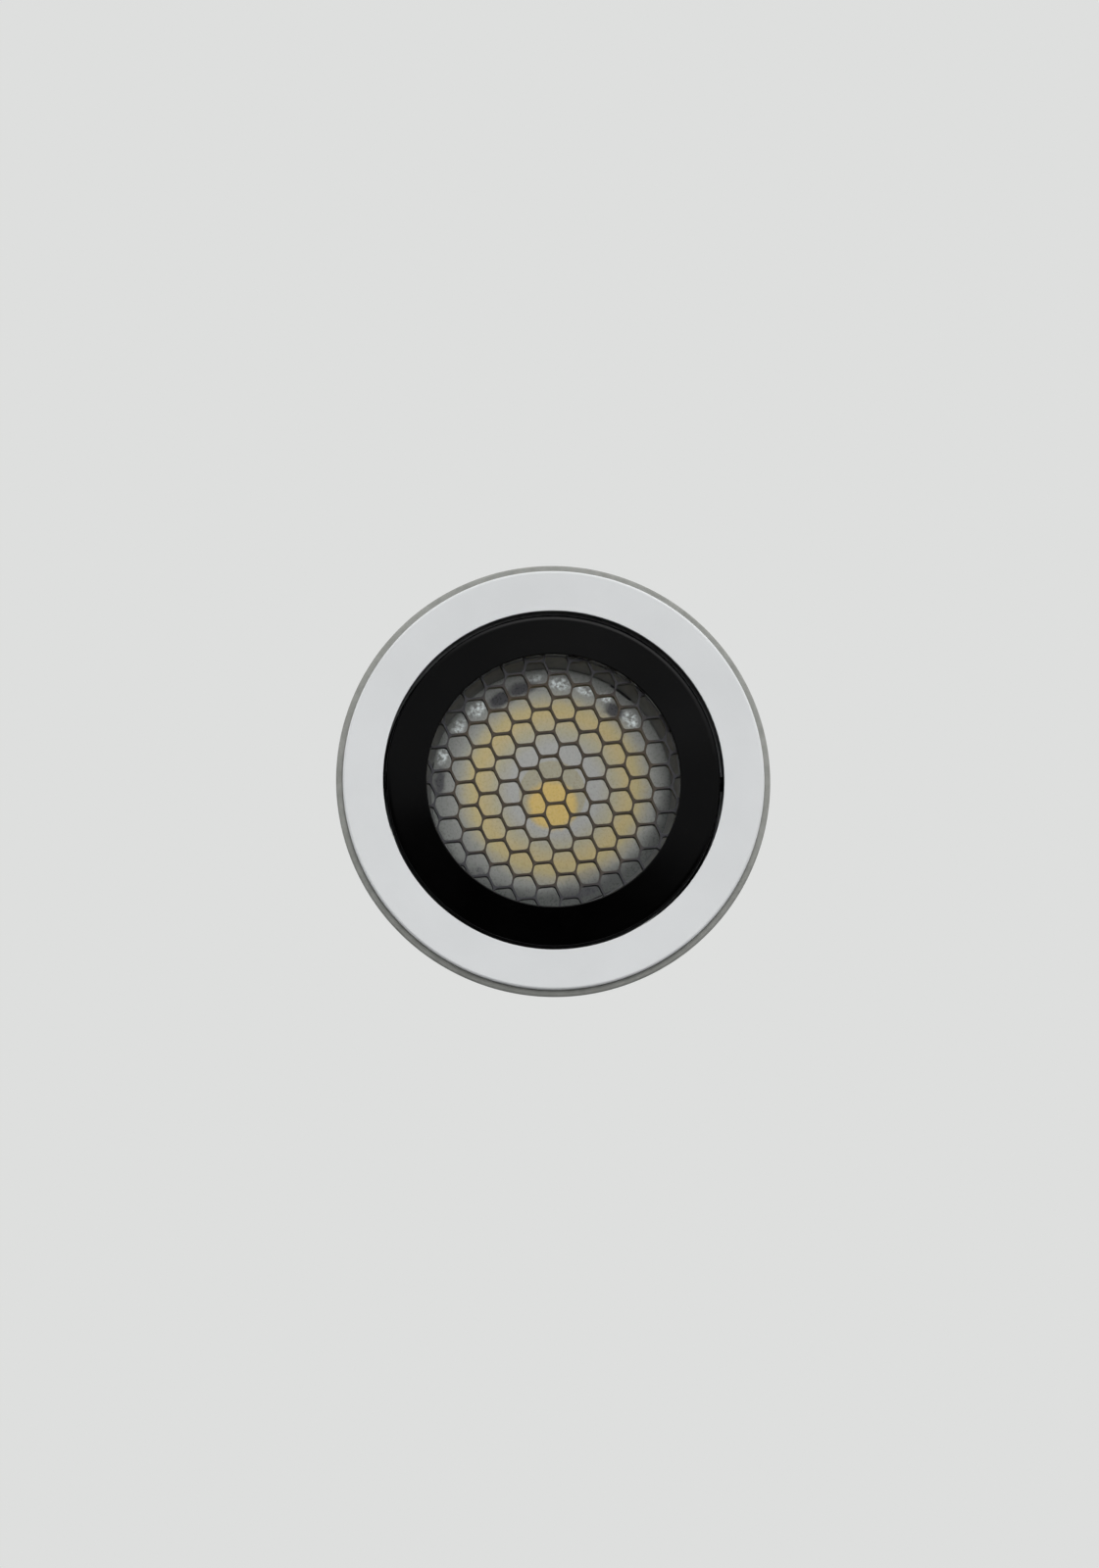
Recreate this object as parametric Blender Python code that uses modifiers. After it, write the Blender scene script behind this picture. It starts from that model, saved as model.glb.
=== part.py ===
"""A recessed LED wall spotlight: white trim, black tilting ring, honeycomb louvre and finned lamp.

Lengths are in metres. X points right, Y into the wall and Z up. The origin is the centre of the
round opening in the wall, in the plane of the wall's face. A depth is a distance behind that
plane, along +Y, so what stands proud of the wall has a depth below zero.
"""

import math

import bmesh
import bpy
from mathutils import Matrix, Vector

# Fits shared by all pieces
SEAT_GAP = 0.0003
RUNNING_GAP = 0.0001
CUT_OVERRUN = 0.001
JOIN_DEPTH = 0.0012
MERGE_DISTANCE = 0.000001

# Facets
ROUND_STEPS = 64
INNER_ROUND_STEPS = 48
SMALL_ROUND_STEPS = 12
CORNER_STEPS = 2
SMOOTH_ANGLE = math.radians(35)
HALF_TURN = math.pi
FULL_TURN = 2 * math.pi

# Wall gasket and white trim ring
GASKET_THICKNESS = 0.0008
GASKET_OVERHANG = 0.0013
TRIM_RADIUS = 0.0420
TRIM_FACE_WIDTH = 0.0079
FLANGE_THICKNESS = 0.0013
TRIM_DISH = 0.0004
TRIM_EDGE_ROUND = 0.0007
TRIM_BORE_ROUND = 0.0003
COLLAR_WALL = 0.0020
COLLAR_DEPTH = 0.0110
COLLAR_LIP_THICKNESS = 0.0008

# Slots in the heads of all screws and pins
SLOT_WIDTH = 0.0006
SLOT_DEPTH = 0.0005
PIVOT_SLOT_TURN = math.radians(30)
RETAINER_SLOT_TURN = math.radians(20)
CAP_SLOT_TURN = math.radians(70)

# Pivot of the tilting ring
PIVOT_DEPTH = 0.0044
PIVOT_PIN_RADIUS = 0.0015
PIVOT_PIN_REACH = 0.0036
PIVOT_HEAD_RADIUS = 0.0027
PIVOT_HEAD_HEIGHT = 0.0010
PIVOT_SEAT_DEPTH = 0.0007
WASHER_RADIUS = 0.0026
WASHER_THICKNESS = 0.0008

# Black tilting ring, whose rim is a band of a sphere about the pivot
TILT_GAP = 0.0006
RING_FACE_WIDTH = 0.0082
RING_SET_BACK = 0.0005
RING_FALL = 0.0008
RING_BULGE = 0.0001
RING_LIP = 0.0019
RING_SHOULDER_ROUND = 0.0011
RING_HALF_LENGTH = 0.0038
RING_FACE_STEPS = 3
RING_RIM_STEPS = 3

# Honeycomb louvre, an expanded foil whose cells are drawn out of true
LOUVRE_SEAT_WIDTH = 0.0010
LOUVRE_RIM = 0.0007
LOUVRE_DEPTH = 0.0028
LOUVRE_WALL = 0.0004
CELL_TOP_EDGE = 0.00346
CELL_TOP_ANGLE = math.radians(5.4)
CELL_FALLING_EDGE = 0.00284
CELL_FALLING_ANGLE = math.radians(-63.7)
CELL_LEANING_EDGE = 0.00225
CELL_LEANING_ANGLE = math.radians(-104.1)
CELL_OFFSET_X = 0.0002
CELL_OFFSET_Z = -0.0019
CELL_LEAST_REACH = 0.0010

# Baffle tube behind the louvre
BAFFLE_WALL = 0.0009
BAFFLE_LENGTH = 0.0071
BAFFLE_RIM_COVER = 0.00095

# Lens, a moulded cup with a flat textured front
LENS_RIM_INSET = 0.0017
LENS_RIM_WIDTH = 0.0014
LENS_RIM_THICKNESS = 0.0015
LENS_REAR_RADIUS = 0.0076
LENS_HEIGHT = 0.0158
LENS_BOWL_STEPS = 4
LENS_WELL_WALL = 0.0016
LENS_WELL_DEPTH = 0.0062
LENS_WELL_CROWN = 0.0014
LENS_CROWN_STEPS = 2

# Lens holder with three snap legs
HOLDER_LEG_COUNT = 3
HOLDER_LEG_TURN = math.radians(54)
HOLDER_LEG_WIDTH = 0.0050
HOLDER_LEG_THICKNESS = 0.0013
HOLDER_LEG_CLEARANCE = 0.0005
HOLDER_LEG_STEPS = 6
HOLDER_HOOK_THICKNESS = 0.0009
HOLDER_HOOK_REACH = 0.0023
HOLDER_RING_HEIGHT = 0.0016
HOLDER_RING_WIDTH = 0.0026

# LED board, phosphor, retainer and thermal pad
BOARD_SIDE = 0.0190
BOARD_THICKNESS = 0.0010
PHOSPHOR_INSET = 0.00035
PHOSPHOR_THICKNESS = 0.0004
PHOSPHOR_STEPS = 32
PAD_INSET = 0.0002
PAD_THICKNESS = 0.0005
RETAINER_EDGE = 0.0020
RETAINER_FACE = 0.0012
RETAINER_WINDOW_GAP = 0.0010
RETAINER_WINDOW_FLARE = 0.0008
RETAINER_SCREW_GAP = 0.0027
RETAINER_SCREW_RADIUS = 0.0011
RETAINER_HEAD_RADIUS = 0.0020
RETAINER_HEAD_HEIGHT = 0.0011
RETAINER_SCREW_REACH = 0.0030

# Heat sink: mounting flange, cup, cone, core and radial fins
CUP_WALL = 0.0018
CUP_DEPTH = 0.0073
SINK_FLANGE_WIDTH = 0.0035
SINK_FLANGE_THICKNESS = 0.0020
CONE_STEP = 0.0004
CONE_LEAD = 0.0008
CONE_WALL = 0.0024
FLOOR_EDGE_GAP = 0.0008
FLOOR_WELL = 0.0020
FLOOR_THICKNESS = 0.0035
CORE_EDGE = 0.0028
CORE_LENGTH = 0.0170
FIN_COUNT = 20
FIN_THICKNESS = 0.0013
FIN_INSET = 0.0005
FIN_ROOT = 0.0011
FIN_LENGTH = 0.0160
FIN_TAPER_LENGTH = 0.0050
FIN_TAPER_WIDTH = 0.0042
FIN_TAPER_SHARE = 1 / 3
SINK_SCREW_COUNT = 3
SINK_SCREW_TURN = math.radians(90)
SINK_SCREW_RADIUS = 0.0010
SINK_SCREW_HEAD_RADIUS = 0.0018
SINK_SCREW_HEAD_HEIGHT = 0.0013
SINK_SCREW_REACH = 0.0030

# Leads, terminal block, rear cap and grommet
LEAD_RADIUS = 0.0008
LEAD_SIDE_GAP = 0.0023
LEAD_HOLE_GAP = 0.0003
LEAD_BEND_RADIUS = 0.0022
LEAD_BEND_STEPS = 5
LEAD_START = 0.0016
CAP_WALL = 0.0014
CAP_END = 0.0016
CAP_LENGTH = 0.0120
CAP_EDGE_ROUND = 0.0016
CAP_PILLAR_INSET = 0.0034
CAP_PILLAR_RADIUS = 0.0022
CAP_SCREW_RADIUS = 0.0010
CAP_SCREW_HEAD_RADIUS = 0.0018
CAP_SCREW_HEAD_HEIGHT = 0.0011
CAP_SCREW_REACH = 0.0040
TERMINAL_WIDTH = 0.0100
TERMINAL_HEIGHT = 0.0070
TERMINAL_DEPTH = 0.0050
TERMINAL_SCREW_OFFSET = 0.0026
TERMINAL_SCREW_RADIUS = 0.0013
TERMINAL_SCREW_DEPTH = 0.0015
GROMMET_RADIUS = 0.0042
GROMMET_BORE_RADIUS = 0.0031
GROMMET_COLLAR = 0.0012
GROMMET_COLLAR_HEIGHT = 0.0010
GROMMET_INNER_SHARE = 1 / 3
GROMMET_TAPER_SHARE = 1 / 4
GROMMET_STEPS = 24

# Spring clips on cast ears behind the collar
CLIP_PIN_INSET = 0.0021
CLIP_PIN_SETBACK = 0.0070
CLIP_PIN_RADIUS = 0.0010
CLIP_PIN_HEAD_RADIUS = 0.0016
CLIP_PIN_HEAD_HEIGHT = 0.0006
EAR_THICKNESS = 0.0018
EAR_ROUND_RADIUS = 0.0026
EAR_ROOT_WIDTH = 0.0016
EAR_ROOT_DEPTH = 0.0015
EAR_SHANK = 0.0020
EAR_ROUND_START = math.radians(160)
EAR_ROUND_END = math.radians(380)
EAR_ROUND_STEPS = 9
ARM_WIDTH = 0.0106
ARM_THICKNESS = 0.0008
ARM_SIDE_GAP = 0.0004
ARM_TIP_REACH = 0.0040
ARM_TIP_DEPTH = 0.0018
ARM_BORE_GAP = 0.00015
ARM_BORE_STEPS = 12
ARM_ROUND_STEPS = 12
ARM_WINDOW_WIDTH = 0.0066
ARM_WINDOW_LENGTH = 0.0044
SLEEVE_LENGTH = 0.0060
SLEEVE_THICKNESS = 0.0026
SLEEVE_WALL = 0.0009
SLEEVE_EDGE_ROUND = 0.0006
SLEEVE_END = 0.0008

# Torsion springs of the clips
SPRING_WIRE_RADIUS = 0.00035
SPRING_CLEARANCE = 0.0003
SPRING_TURNS = 4
SPRING_PITCH = 0.00116
SPRING_STEPS = 9
SPRING_FIXED_LEG = 0.0074
SPRING_MOVING_LEG = 0.0064
SPRING_KNEE_SHARE = 0.75

# Directions in which depth and the pins run
INTO_WALL = Vector((0, 1, 0))
UP = Vector((0, 0, 1))
FACE_FORWARD = Matrix.Rotation(math.radians(90), 4, "X")

# Places that follow from the sizes above
TRIM_BACK = -(GASKET_THICKNESS + SEAT_GAP)
TRIM_FRONT = TRIM_BACK - FLANGE_THICKNESS
TRIM_INNER_FRONT = TRIM_FRONT + TRIM_DISH
COLLAR_BORE_RADIUS = TRIM_RADIUS - TRIM_FACE_WIDTH
COLLAR_RADIUS = COLLAR_BORE_RADIUS + COLLAR_WALL
RIM_RADIUS = COLLAR_BORE_RADIUS - TILT_GAP
APERTURE_RADIUS = RIM_RADIUS - RING_FACE_WIDTH
LOUVRE_RADIUS = APERTURE_RADIUS + LOUVRE_SEAT_WIDTH
LENS_RIM_RADIUS = LOUVRE_RADIUS - LENS_RIM_INSET
LENS_NECK_RADIUS = LENS_RIM_RADIUS - LENS_RIM_WIDTH
LENS_WELL_RADIUS = LENS_REAR_RADIUS - LENS_WELL_WALL
BAFFLE_END_RADIUS = LENS_RIM_RADIUS - BAFFLE_RIM_COVER
RING_FRONT = TRIM_INNER_FRONT + RING_SET_BACK
RING_BACK = PIVOT_DEPTH + RING_HALF_LENGTH
RING_BORE_RADIUS = LOUVRE_RADIUS + SEAT_GAP
LIP_BACK = RING_FRONT + RING_LIP
LOUVRE_FRONT = LIP_BACK + SEAT_GAP
LOUVRE_BACK = LOUVRE_FRONT + LOUVRE_DEPTH
WASHER_SEAT = RIM_RADIUS - SEAT_GAP - WASHER_THICKNESS
BAFFLE_FRONT = LOUVRE_BACK + SEAT_GAP
BAFFLE_BACK = BAFFLE_FRONT + BAFFLE_LENGTH
HOOK_FRONT = BAFFLE_BACK + SEAT_GAP
LENS_FRONT = HOOK_FRONT + HOLDER_HOOK_THICKNESS + SEAT_GAP
LENS_NECK = LENS_FRONT + LENS_RIM_THICKNESS
LENS_BACK = LENS_FRONT + LENS_HEIGHT
PHOSPHOR_FRONT = LENS_BACK + SEAT_GAP
PHOSPHOR_RADIUS = LENS_REAR_RADIUS - PHOSPHOR_INSET
BOARD_FRONT = PHOSPHOR_FRONT + PHOSPHOR_THICKNESS + SEAT_GAP
PAD_FRONT = BOARD_FRONT + BOARD_THICKNESS + SEAT_GAP
PAD_SIDE = BOARD_SIDE - 2 * PAD_INSET
FLOOR_FRONT = PAD_FRONT + PAD_THICKNESS + SEAT_GAP
RETAINER_RADIUS = BOARD_SIDE / math.sqrt(2) + RETAINER_EDGE
RETAINER_WINDOW_RADIUS = LENS_REAR_RADIUS + RETAINER_WINDOW_GAP
RETAINER_SCREW_OFFSET = BOARD_SIDE / 2 + RETAINER_SCREW_GAP
RETAINER_BACK = FLOOR_FRONT - SEAT_GAP
RETAINER_POCKET_FRONT = BOARD_FRONT - SEAT_GAP
RETAINER_FRONT = RETAINER_POCKET_FRONT - RETAINER_FACE
SINK_FRONT = RING_BACK + SEAT_GAP
CUP_BORE_RADIUS = RING_BORE_RADIUS
CUP_RADIUS = CUP_BORE_RADIUS + CUP_WALL
CONE_FRONT = SINK_FRONT + CUP_DEPTH
CONE_BACK = FLOOR_FRONT - FLOOR_WELL
FLOOR_RADIUS = RETAINER_RADIUS + FLOOR_EDGE_GAP
SINK_FLANGE_RADIUS = CUP_RADIUS + SINK_FLANGE_WIDTH
SINK_FLANGE_BACK = SINK_FRONT + SINK_FLANGE_THICKNESS
SINK_SCREW_OFFSET = (CUP_RADIUS + SINK_FLANGE_RADIUS) / 2
FLOOR_BACK = FLOOR_FRONT + FLOOR_THICKNESS
CORE_BACK = FLOOR_BACK + CORE_LENGTH
LEAD_OFFSET = BOARD_SIDE / 2 + LEAD_SIDE_GAP
CORE_RADIUS = LEAD_OFFSET + CORE_EDGE
CAP_FRONT = CORE_BACK + SEAT_GAP
CAP_BACK = CAP_FRONT + CAP_LENGTH
CAP_BORE_RADIUS = CORE_RADIUS - CAP_WALL
CAP_PILLAR_OFFSET = CORE_RADIUS - CAP_PILLAR_INSET
TERMINAL_FRONT = CORE_BACK + SEAT_GAP
TERMINAL_BACK = TERMINAL_FRONT + TERMINAL_DEPTH
CLIP_PIN_OFFSET = COLLAR_RADIUS - CLIP_PIN_INSET
CLIP_PIN_DEPTH = COLLAR_DEPTH + CLIP_PIN_SETBACK
ARM_TIP_OFFSET = COLLAR_RADIUS + ARM_TIP_REACH
EAR_INNER = ARM_WIDTH / 2 + ARM_SIDE_GAP
EAR_OUTER = EAR_INNER + EAR_THICKNESS
ARM_BORE_RADIUS = CLIP_PIN_RADIUS + ARM_BORE_GAP
KNUCKLE_RADIUS = ARM_BORE_RADIUS + ARM_THICKNESS
SPRING_RADIUS = CLIP_PIN_RADIUS + SPRING_CLEARANCE + SPRING_WIRE_RADIUS


def clear_scene():
    """Removes whatever the scene holds."""
    for thing in list(bpy.data.objects):
        bpy.data.objects.remove(thing, do_unlink=True)


def new_collection(name):
    """Adds a collection to the scene."""
    collection = bpy.data.collections.new(name)
    bpy.context.scene.collection.children.link(collection)
    return collection


clear_scene()
PARTS = new_collection("recessed_wall_spotlight")
TOOLS = new_collection("cutters")


def paint(name, colour, roughness, metallic=0.0):
    """A Principled material. The colour is linear red, green and blue."""
    material = bpy.data.materials.new(name)
    material.use_nodes = True
    shader = material.node_tree.nodes["Principled BSDF"]
    shader.inputs["Base Color"].default_value = (*colour, 1.0)
    shader.inputs["Roughness"].default_value = roughness
    shader.inputs["Metallic"].default_value = metallic
    material.diffuse_color = (*colour, 1.0)
    return material


FINISHES = {
    "white_paint": paint("white_paint", (0.66, 0.67, 0.68), 0.45),
    "black_paint": paint("black_paint", (0.004, 0.004, 0.004), 0.35),
    "grey_foam": paint("grey_foam", (0.11, 0.11, 0.10), 0.9),
    "black_louvre": paint("black_louvre", (0.012, 0.009, 0.007), 0.5),
    "dark_plastic": paint("dark_plastic", (0.02, 0.02, 0.02), 0.55),
    "clear_acrylic": paint("clear_acrylic", (0.45, 0.46, 0.42), 0.15),
    "black_plastic": paint("black_plastic", (0.01, 0.01, 0.01), 0.5),
    "white_plastic": paint("white_plastic", (0.75, 0.75, 0.72), 0.5),
    "board_ceramic": paint("board_ceramic", (0.70, 0.70, 0.68), 0.4),
    "yellow_phosphor": paint("yellow_phosphor", (0.75, 0.50, 0.09), 0.6),
    "grey_silicone": paint("grey_silicone", (0.25, 0.27, 0.30), 0.8),
    "cast_aluminium": paint("cast_aluminium", (0.60, 0.61, 0.62), 0.45, 1.0),
    "zinc_steel": paint("zinc_steel", (0.55, 0.55, 0.54), 0.35, 1.0),
    "spring_steel": paint("spring_steel", (0.42, 0.42, 0.43), 0.3, 1.0),
    "black_rubber": paint("black_rubber", (0.015, 0.015, 0.015), 0.8),
    "red_insulation": paint("red_insulation", (0.45, 0.02, 0.015), 0.45),
    "black_insulation": paint("black_insulation", (0.012, 0.012, 0.012), 0.45),
}


def settle(part):
    """Applies a piece's modifiers and shades it smooth between its sharp edges."""
    bpy.context.view_layer.update()
    evaluated = part.evaluated_get(bpy.context.evaluated_depsgraph_get())
    mesh = bpy.data.meshes.new_from_object(evaluated)
    part.modifiers.clear()
    part.data = mesh
    mesh.name = part.name
    mesh.shade_smooth()
    mesh.set_sharp_from_angle(angle=SMOOTH_ANGLE)
    return part


def add_object(name, mesh, collection=TOOLS):
    """Puts a mesh into the scene. What lies among the cutters is drawn as wire."""
    thing = bpy.data.objects.new(name, mesh)
    collection.objects.link(thing)
    if collection == TOOLS:
        thing.hide_render = True
        thing.display_type = "WIRE"
    return thing


def turned(name, profile, steps=ROUND_STEPS, closed=True):
    """A shape turned about the light's axis, from points (radius, depth).

    The points run outwards along the front, down the outer side and back inwards. An open
    profile starts and ends on the axis.
    """
    mesh = bpy.data.meshes.new(name)
    points = [(radius, 0, -depth) for radius, depth in profile]
    edges = [(i, i + 1) for i in range(len(points) - 1)]
    if closed:
        edges.append((len(points) - 1, 0))
    mesh.from_pydata(points, edges, [])
    shape = add_object(name, mesh)
    screw = shape.modifiers.new("turn", "SCREW")
    screw.axis = "Z"
    screw.steps = steps
    screw.render_steps = steps
    screw.use_merge_vertices = True
    screw.merge_threshold = MERGE_DISTANCE
    shape.matrix_world = FACE_FORWARD
    return settle(shape)


def box(name, size, centre):
    """A block of a given size about a centre."""
    mesh = bpy.data.meshes.new(name)
    shape = bmesh.new()
    bmesh.ops.create_cube(shape, size=1)
    bmesh.ops.scale(shape, vec=size, verts=shape.verts)
    shape.to_mesh(mesh)
    shape.free()
    block = add_object(name, mesh)
    block.location = centre
    return block


def rod(name, radius, start, end, steps=SMALL_ROUND_STEPS, end_radius=None):
    """A cylinder or a cone between two points."""
    start = Vector(start)
    run = Vector(end) - start
    mesh = bpy.data.meshes.new(name)
    shape = bmesh.new()
    bmesh.ops.create_cone(
        shape,
        cap_ends=True,
        segments=steps,
        radius1=radius,
        radius2=radius if end_radius is None else end_radius,
        depth=run.length,
    )
    shape.to_mesh(mesh)
    shape.free()
    cylinder = add_object(name, mesh)
    cylinder.location = start + run / 2
    cylinder.rotation_mode = "QUATERNION"
    cylinder.rotation_quaternion = UP.rotation_difference(run)
    return cylinder


def plate(name, outlines, thickness, placing):
    """Flat outlines, the later ones holes or further plates, given thickness about their plane."""
    curve = bpy.data.curves.new(name, "CURVE")
    curve.dimensions = "2D"
    curve.fill_mode = "BOTH"
    curve.extrude = thickness / 2
    for outline in outlines:
        spline = curve.splines.new("POLY")
        spline.points.add(len(outline) - 1)
        for point, (x, y) in zip(spline.points, outline):
            point.co = (x, y, 0, 1)
        spline.use_cyclic_u = True
    drawing = bpy.data.objects.new(name, curve)
    TOOLS.objects.link(drawing)
    drawing.matrix_world = placing
    return as_mesh(drawing)


def tube(name, points, radius, resolution=1):
    """A round wire along points, its ends closed."""
    curve = bpy.data.curves.new(name, "CURVE")
    curve.dimensions = "3D"
    curve.bevel_depth = radius
    curve.bevel_resolution = resolution
    curve.use_fill_caps = True
    spline = curve.splines.new("POLY")
    spline.points.add(len(points) - 1)
    for point, place in zip(spline.points, points):
        point.co = (*place, 1)
    drawing = bpy.data.objects.new(name, curve)
    TOOLS.objects.link(drawing)
    return as_mesh(drawing)


def as_mesh(drawing):
    """Makes a mesh of a curve object, with its caps welded on."""
    bpy.context.view_layer.update()
    evaluated = drawing.evaluated_get(bpy.context.evaluated_depsgraph_get())
    mesh = bpy.data.meshes.new_from_object(evaluated)
    shape = bmesh.new()
    shape.from_mesh(mesh)
    bmesh.ops.remove_doubles(shape, verts=shape.verts, dist=MERGE_DISTANCE)
    bmesh.ops.recalc_face_normals(shape, faces=shape.faces)
    shape.to_mesh(mesh)
    shape.free()
    name = drawing.name
    place = drawing.matrix_world.copy()
    bpy.data.objects.remove(drawing)
    solid = add_object(name, mesh)
    solid.matrix_world = place
    return solid


def combine(part, operation, tools):
    """Cuts tools from a shape, or joins them to it, with one exact Boolean each."""
    for tool in tools:
        boolean = part.modifiers.new(tool.name, "BOOLEAN")
        boolean.operation = operation
        boolean.solver = "EXACT"
        boolean.object = tool
    return settle(part)


def finished(shape, name, finish, parent=None):
    """Moves a shape among the parts, under its own name, finish and joint."""
    TOOLS.objects.unlink(shape)
    PARTS.objects.link(shape)
    shape.hide_render = False
    shape.display_type = "TEXTURED"
    shape.name = name
    shape.data.name = name
    shape.data.materials.clear()
    shape.data.materials.append(FINISHES[finish])
    shape.data.shade_smooth()
    shape.data.set_sharp_from_angle(angle=SMOOTH_ANGLE)
    if parent is not None:
        shape.parent = parent
        shape.matrix_parent_inverse = parent.matrix_world.inverted()
    return shape


def joint_axis(name, place):
    """An empty on a joint's axis, which carries the pieces that move with it."""
    empty = bpy.data.objects.new(name, None)
    empty.location = place
    PARTS.objects.link(empty)
    bpy.context.view_layer.update()
    return empty


def rounded(centre, radius, start, end, steps=CORNER_STEPS):
    """Points of an arc in a profile's or outline's plane, from one angle to another."""
    angles = [start + (end - start) * i / steps for i in range(steps + 1)]
    return [
        (centre[0] + radius * math.cos(a), centre[1] - radius * math.sin(a)) for a in angles
    ]


def bowed(start, end, rise, steps):
    """Points between two profile points, standing proud towards the front in the middle."""
    points = []
    for i in range(steps + 1):
        share = i / steps
        proud = rise * 4 * share * (1 - share)
        radius = start[0] + (end[0] - start[0]) * share
        depth = start[1] + (end[1] - start[1]) * share
        points.append((radius, depth - proud))
    return points


def on_face(radius, angle, depth):
    """The point at a radius and an angle round the light's axis, seen from the front."""
    return Vector((radius * math.cos(angle), depth, radius * math.sin(angle)))


def radial_placing(angle):
    """Turns a plate drawn in (radius, depth) into the plane through the axis at an angle."""
    return Matrix.Rotation(-angle, 4, "Y") @ Matrix.Identity(4)


def screw(name, place, head_radius, head_height, radius, reach, direction, slot_turn=0.0):
    """A pan-head screw whose head's underside is at a place and whose shank runs on from it."""
    place = Vector(place)
    direction = Vector(direction).normalized()
    head_end = place - direction * head_height
    head = rod(name, head_radius, head_end, place, end_radius=head_radius)
    shank = rod(name + "_shank", radius, place - direction * (head_height / 2), place + direction * reach)
    combine(head, "UNION", [shank])
    slot_size = (2 * (head_radius + CUT_OVERRUN), SLOT_WIDTH, SLOT_DEPTH * 2)
    slot = box(name + "_slot", slot_size, head_end)
    slot.rotation_mode = "QUATERNION"
    turn = Matrix.Rotation(slot_turn, 4, direction).to_quaternion()
    slot.rotation_quaternion = turn @ UP.rotation_difference(direction)
    return combine(head, "DIFFERENCE", [slot])


# Wall gasket and trim ring


def make_gasket():
    """The foam ring that the trim presses on the wall."""
    outer = TRIM_RADIUS + GASKET_OVERHANG
    inner = COLLAR_RADIUS + SEAT_GAP
    front = -GASKET_THICKNESS
    profile = [(inner, front), (outer, front), (outer, 0), (inner, 0)]
    return finished(turned("gasket", profile), "wall_gasket", "grey_foam")


def ear_outline(side):
    """Outline of one clip ear in X and Y, from inside the collar's wall to round the pin."""
    root = COLLAR_BORE_RADIUS + COLLAR_WALL / 2 - EAR_ROOT_WIDTH / 4
    inner_root = root - EAR_ROOT_WIDTH / 2
    outer_root = root + EAR_ROOT_WIDTH / 2
    shank_end = COLLAR_DEPTH + EAR_SHANK
    points = [
        (inner_root, COLLAR_DEPTH - EAR_ROOT_DEPTH),
        (inner_root, shank_end),
    ]
    centre = (CLIP_PIN_OFFSET, CLIP_PIN_DEPTH)
    points += rounded(centre, EAR_ROUND_RADIUS, EAR_ROUND_START, EAR_ROUND_END, EAR_ROUND_STEPS)
    points += [(outer_root, shank_end), (outer_root, COLLAR_DEPTH - EAR_ROOT_DEPTH)]
    return [(side * x, y) for x, y in points]


def rim_radius_at(depth):
    """Radius of the tilting ring's round rim at a depth."""
    return math.sqrt(RIM_RADIUS**2 - (depth - PIVOT_DEPTH) ** 2)


def lip_radius():
    """Radius inside the collar's rear lip, which the tilting ring's rim just clears."""
    return rim_radius_at(COLLAR_DEPTH - COLLAR_LIP_THICKNESS) + SEAT_GAP


def make_trim():
    """The cast trim: dished flange, collar with a rear lip, pivot bores and the clips' ears."""
    bore_edge = (COLLAR_BORE_RADIUS + TRIM_BORE_ROUND, TRIM_INNER_FRONT + TRIM_BORE_ROUND)
    rim_edge = (TRIM_RADIUS - TRIM_EDGE_ROUND, TRIM_FRONT + TRIM_EDGE_ROUND)
    profile = rounded(bore_edge, TRIM_BORE_ROUND, math.radians(180), math.radians(90))
    profile += rounded(rim_edge, TRIM_EDGE_ROUND, math.radians(90), 0)
    profile += [
        (TRIM_RADIUS, TRIM_BACK),
        (COLLAR_RADIUS, TRIM_BACK),
        (COLLAR_RADIUS, COLLAR_DEPTH),
        (lip_radius(), COLLAR_DEPTH),
        (lip_radius(), COLLAR_DEPTH - COLLAR_LIP_THICKNESS),
        (COLLAR_BORE_RADIUS, COLLAR_DEPTH - COLLAR_LIP_THICKNESS),
    ]
    trim = turned("trim", profile)
    ears = []
    holes = []
    for side in (1, -1):
        for level in (1, -1):
            middle = level * (EAR_INNER + EAR_OUTER) / 2
            placing = Matrix.Translation((0, 0, middle))
            ears.append(plate(f"ear_{side}_{level}", [ear_outline(side)], EAR_THICKNESS, placing))
        axis = Vector((side * CLIP_PIN_OFFSET, CLIP_PIN_DEPTH, 0))
        reach = UP * (EAR_OUTER + CUT_OVERRUN)
        hole_radius = CLIP_PIN_RADIUS + RUNNING_GAP
        holes.append(rod(f"clip_bore_{side}", hole_radius, axis - reach, axis + reach))
        pivot = Vector((0, PIVOT_DEPTH, 0))
        outward = Vector((side, 0, 0))
        bore_start = pivot + outward * (COLLAR_BORE_RADIUS - CUT_OVERRUN)
        bore_end = pivot + outward * (COLLAR_RADIUS + CUT_OVERRUN)
        seat = pivot + outward * (COLLAR_RADIUS - PIVOT_SEAT_DEPTH)
        pin_hole = PIVOT_PIN_RADIUS + RUNNING_GAP
        holes.append(rod(f"pivot_bore_{side}", pin_hole, bore_start, bore_end))
        head_hole = PIVOT_HEAD_RADIUS + SEAT_GAP
        holes.append(rod(f"pivot_seat_{side}", head_hole, seat, bore_end))
    combine(trim, "UNION", ears)
    combine(trim, "DIFFERENCE", holes)
    return finished(trim, "trim_ring", "white_paint")


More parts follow.
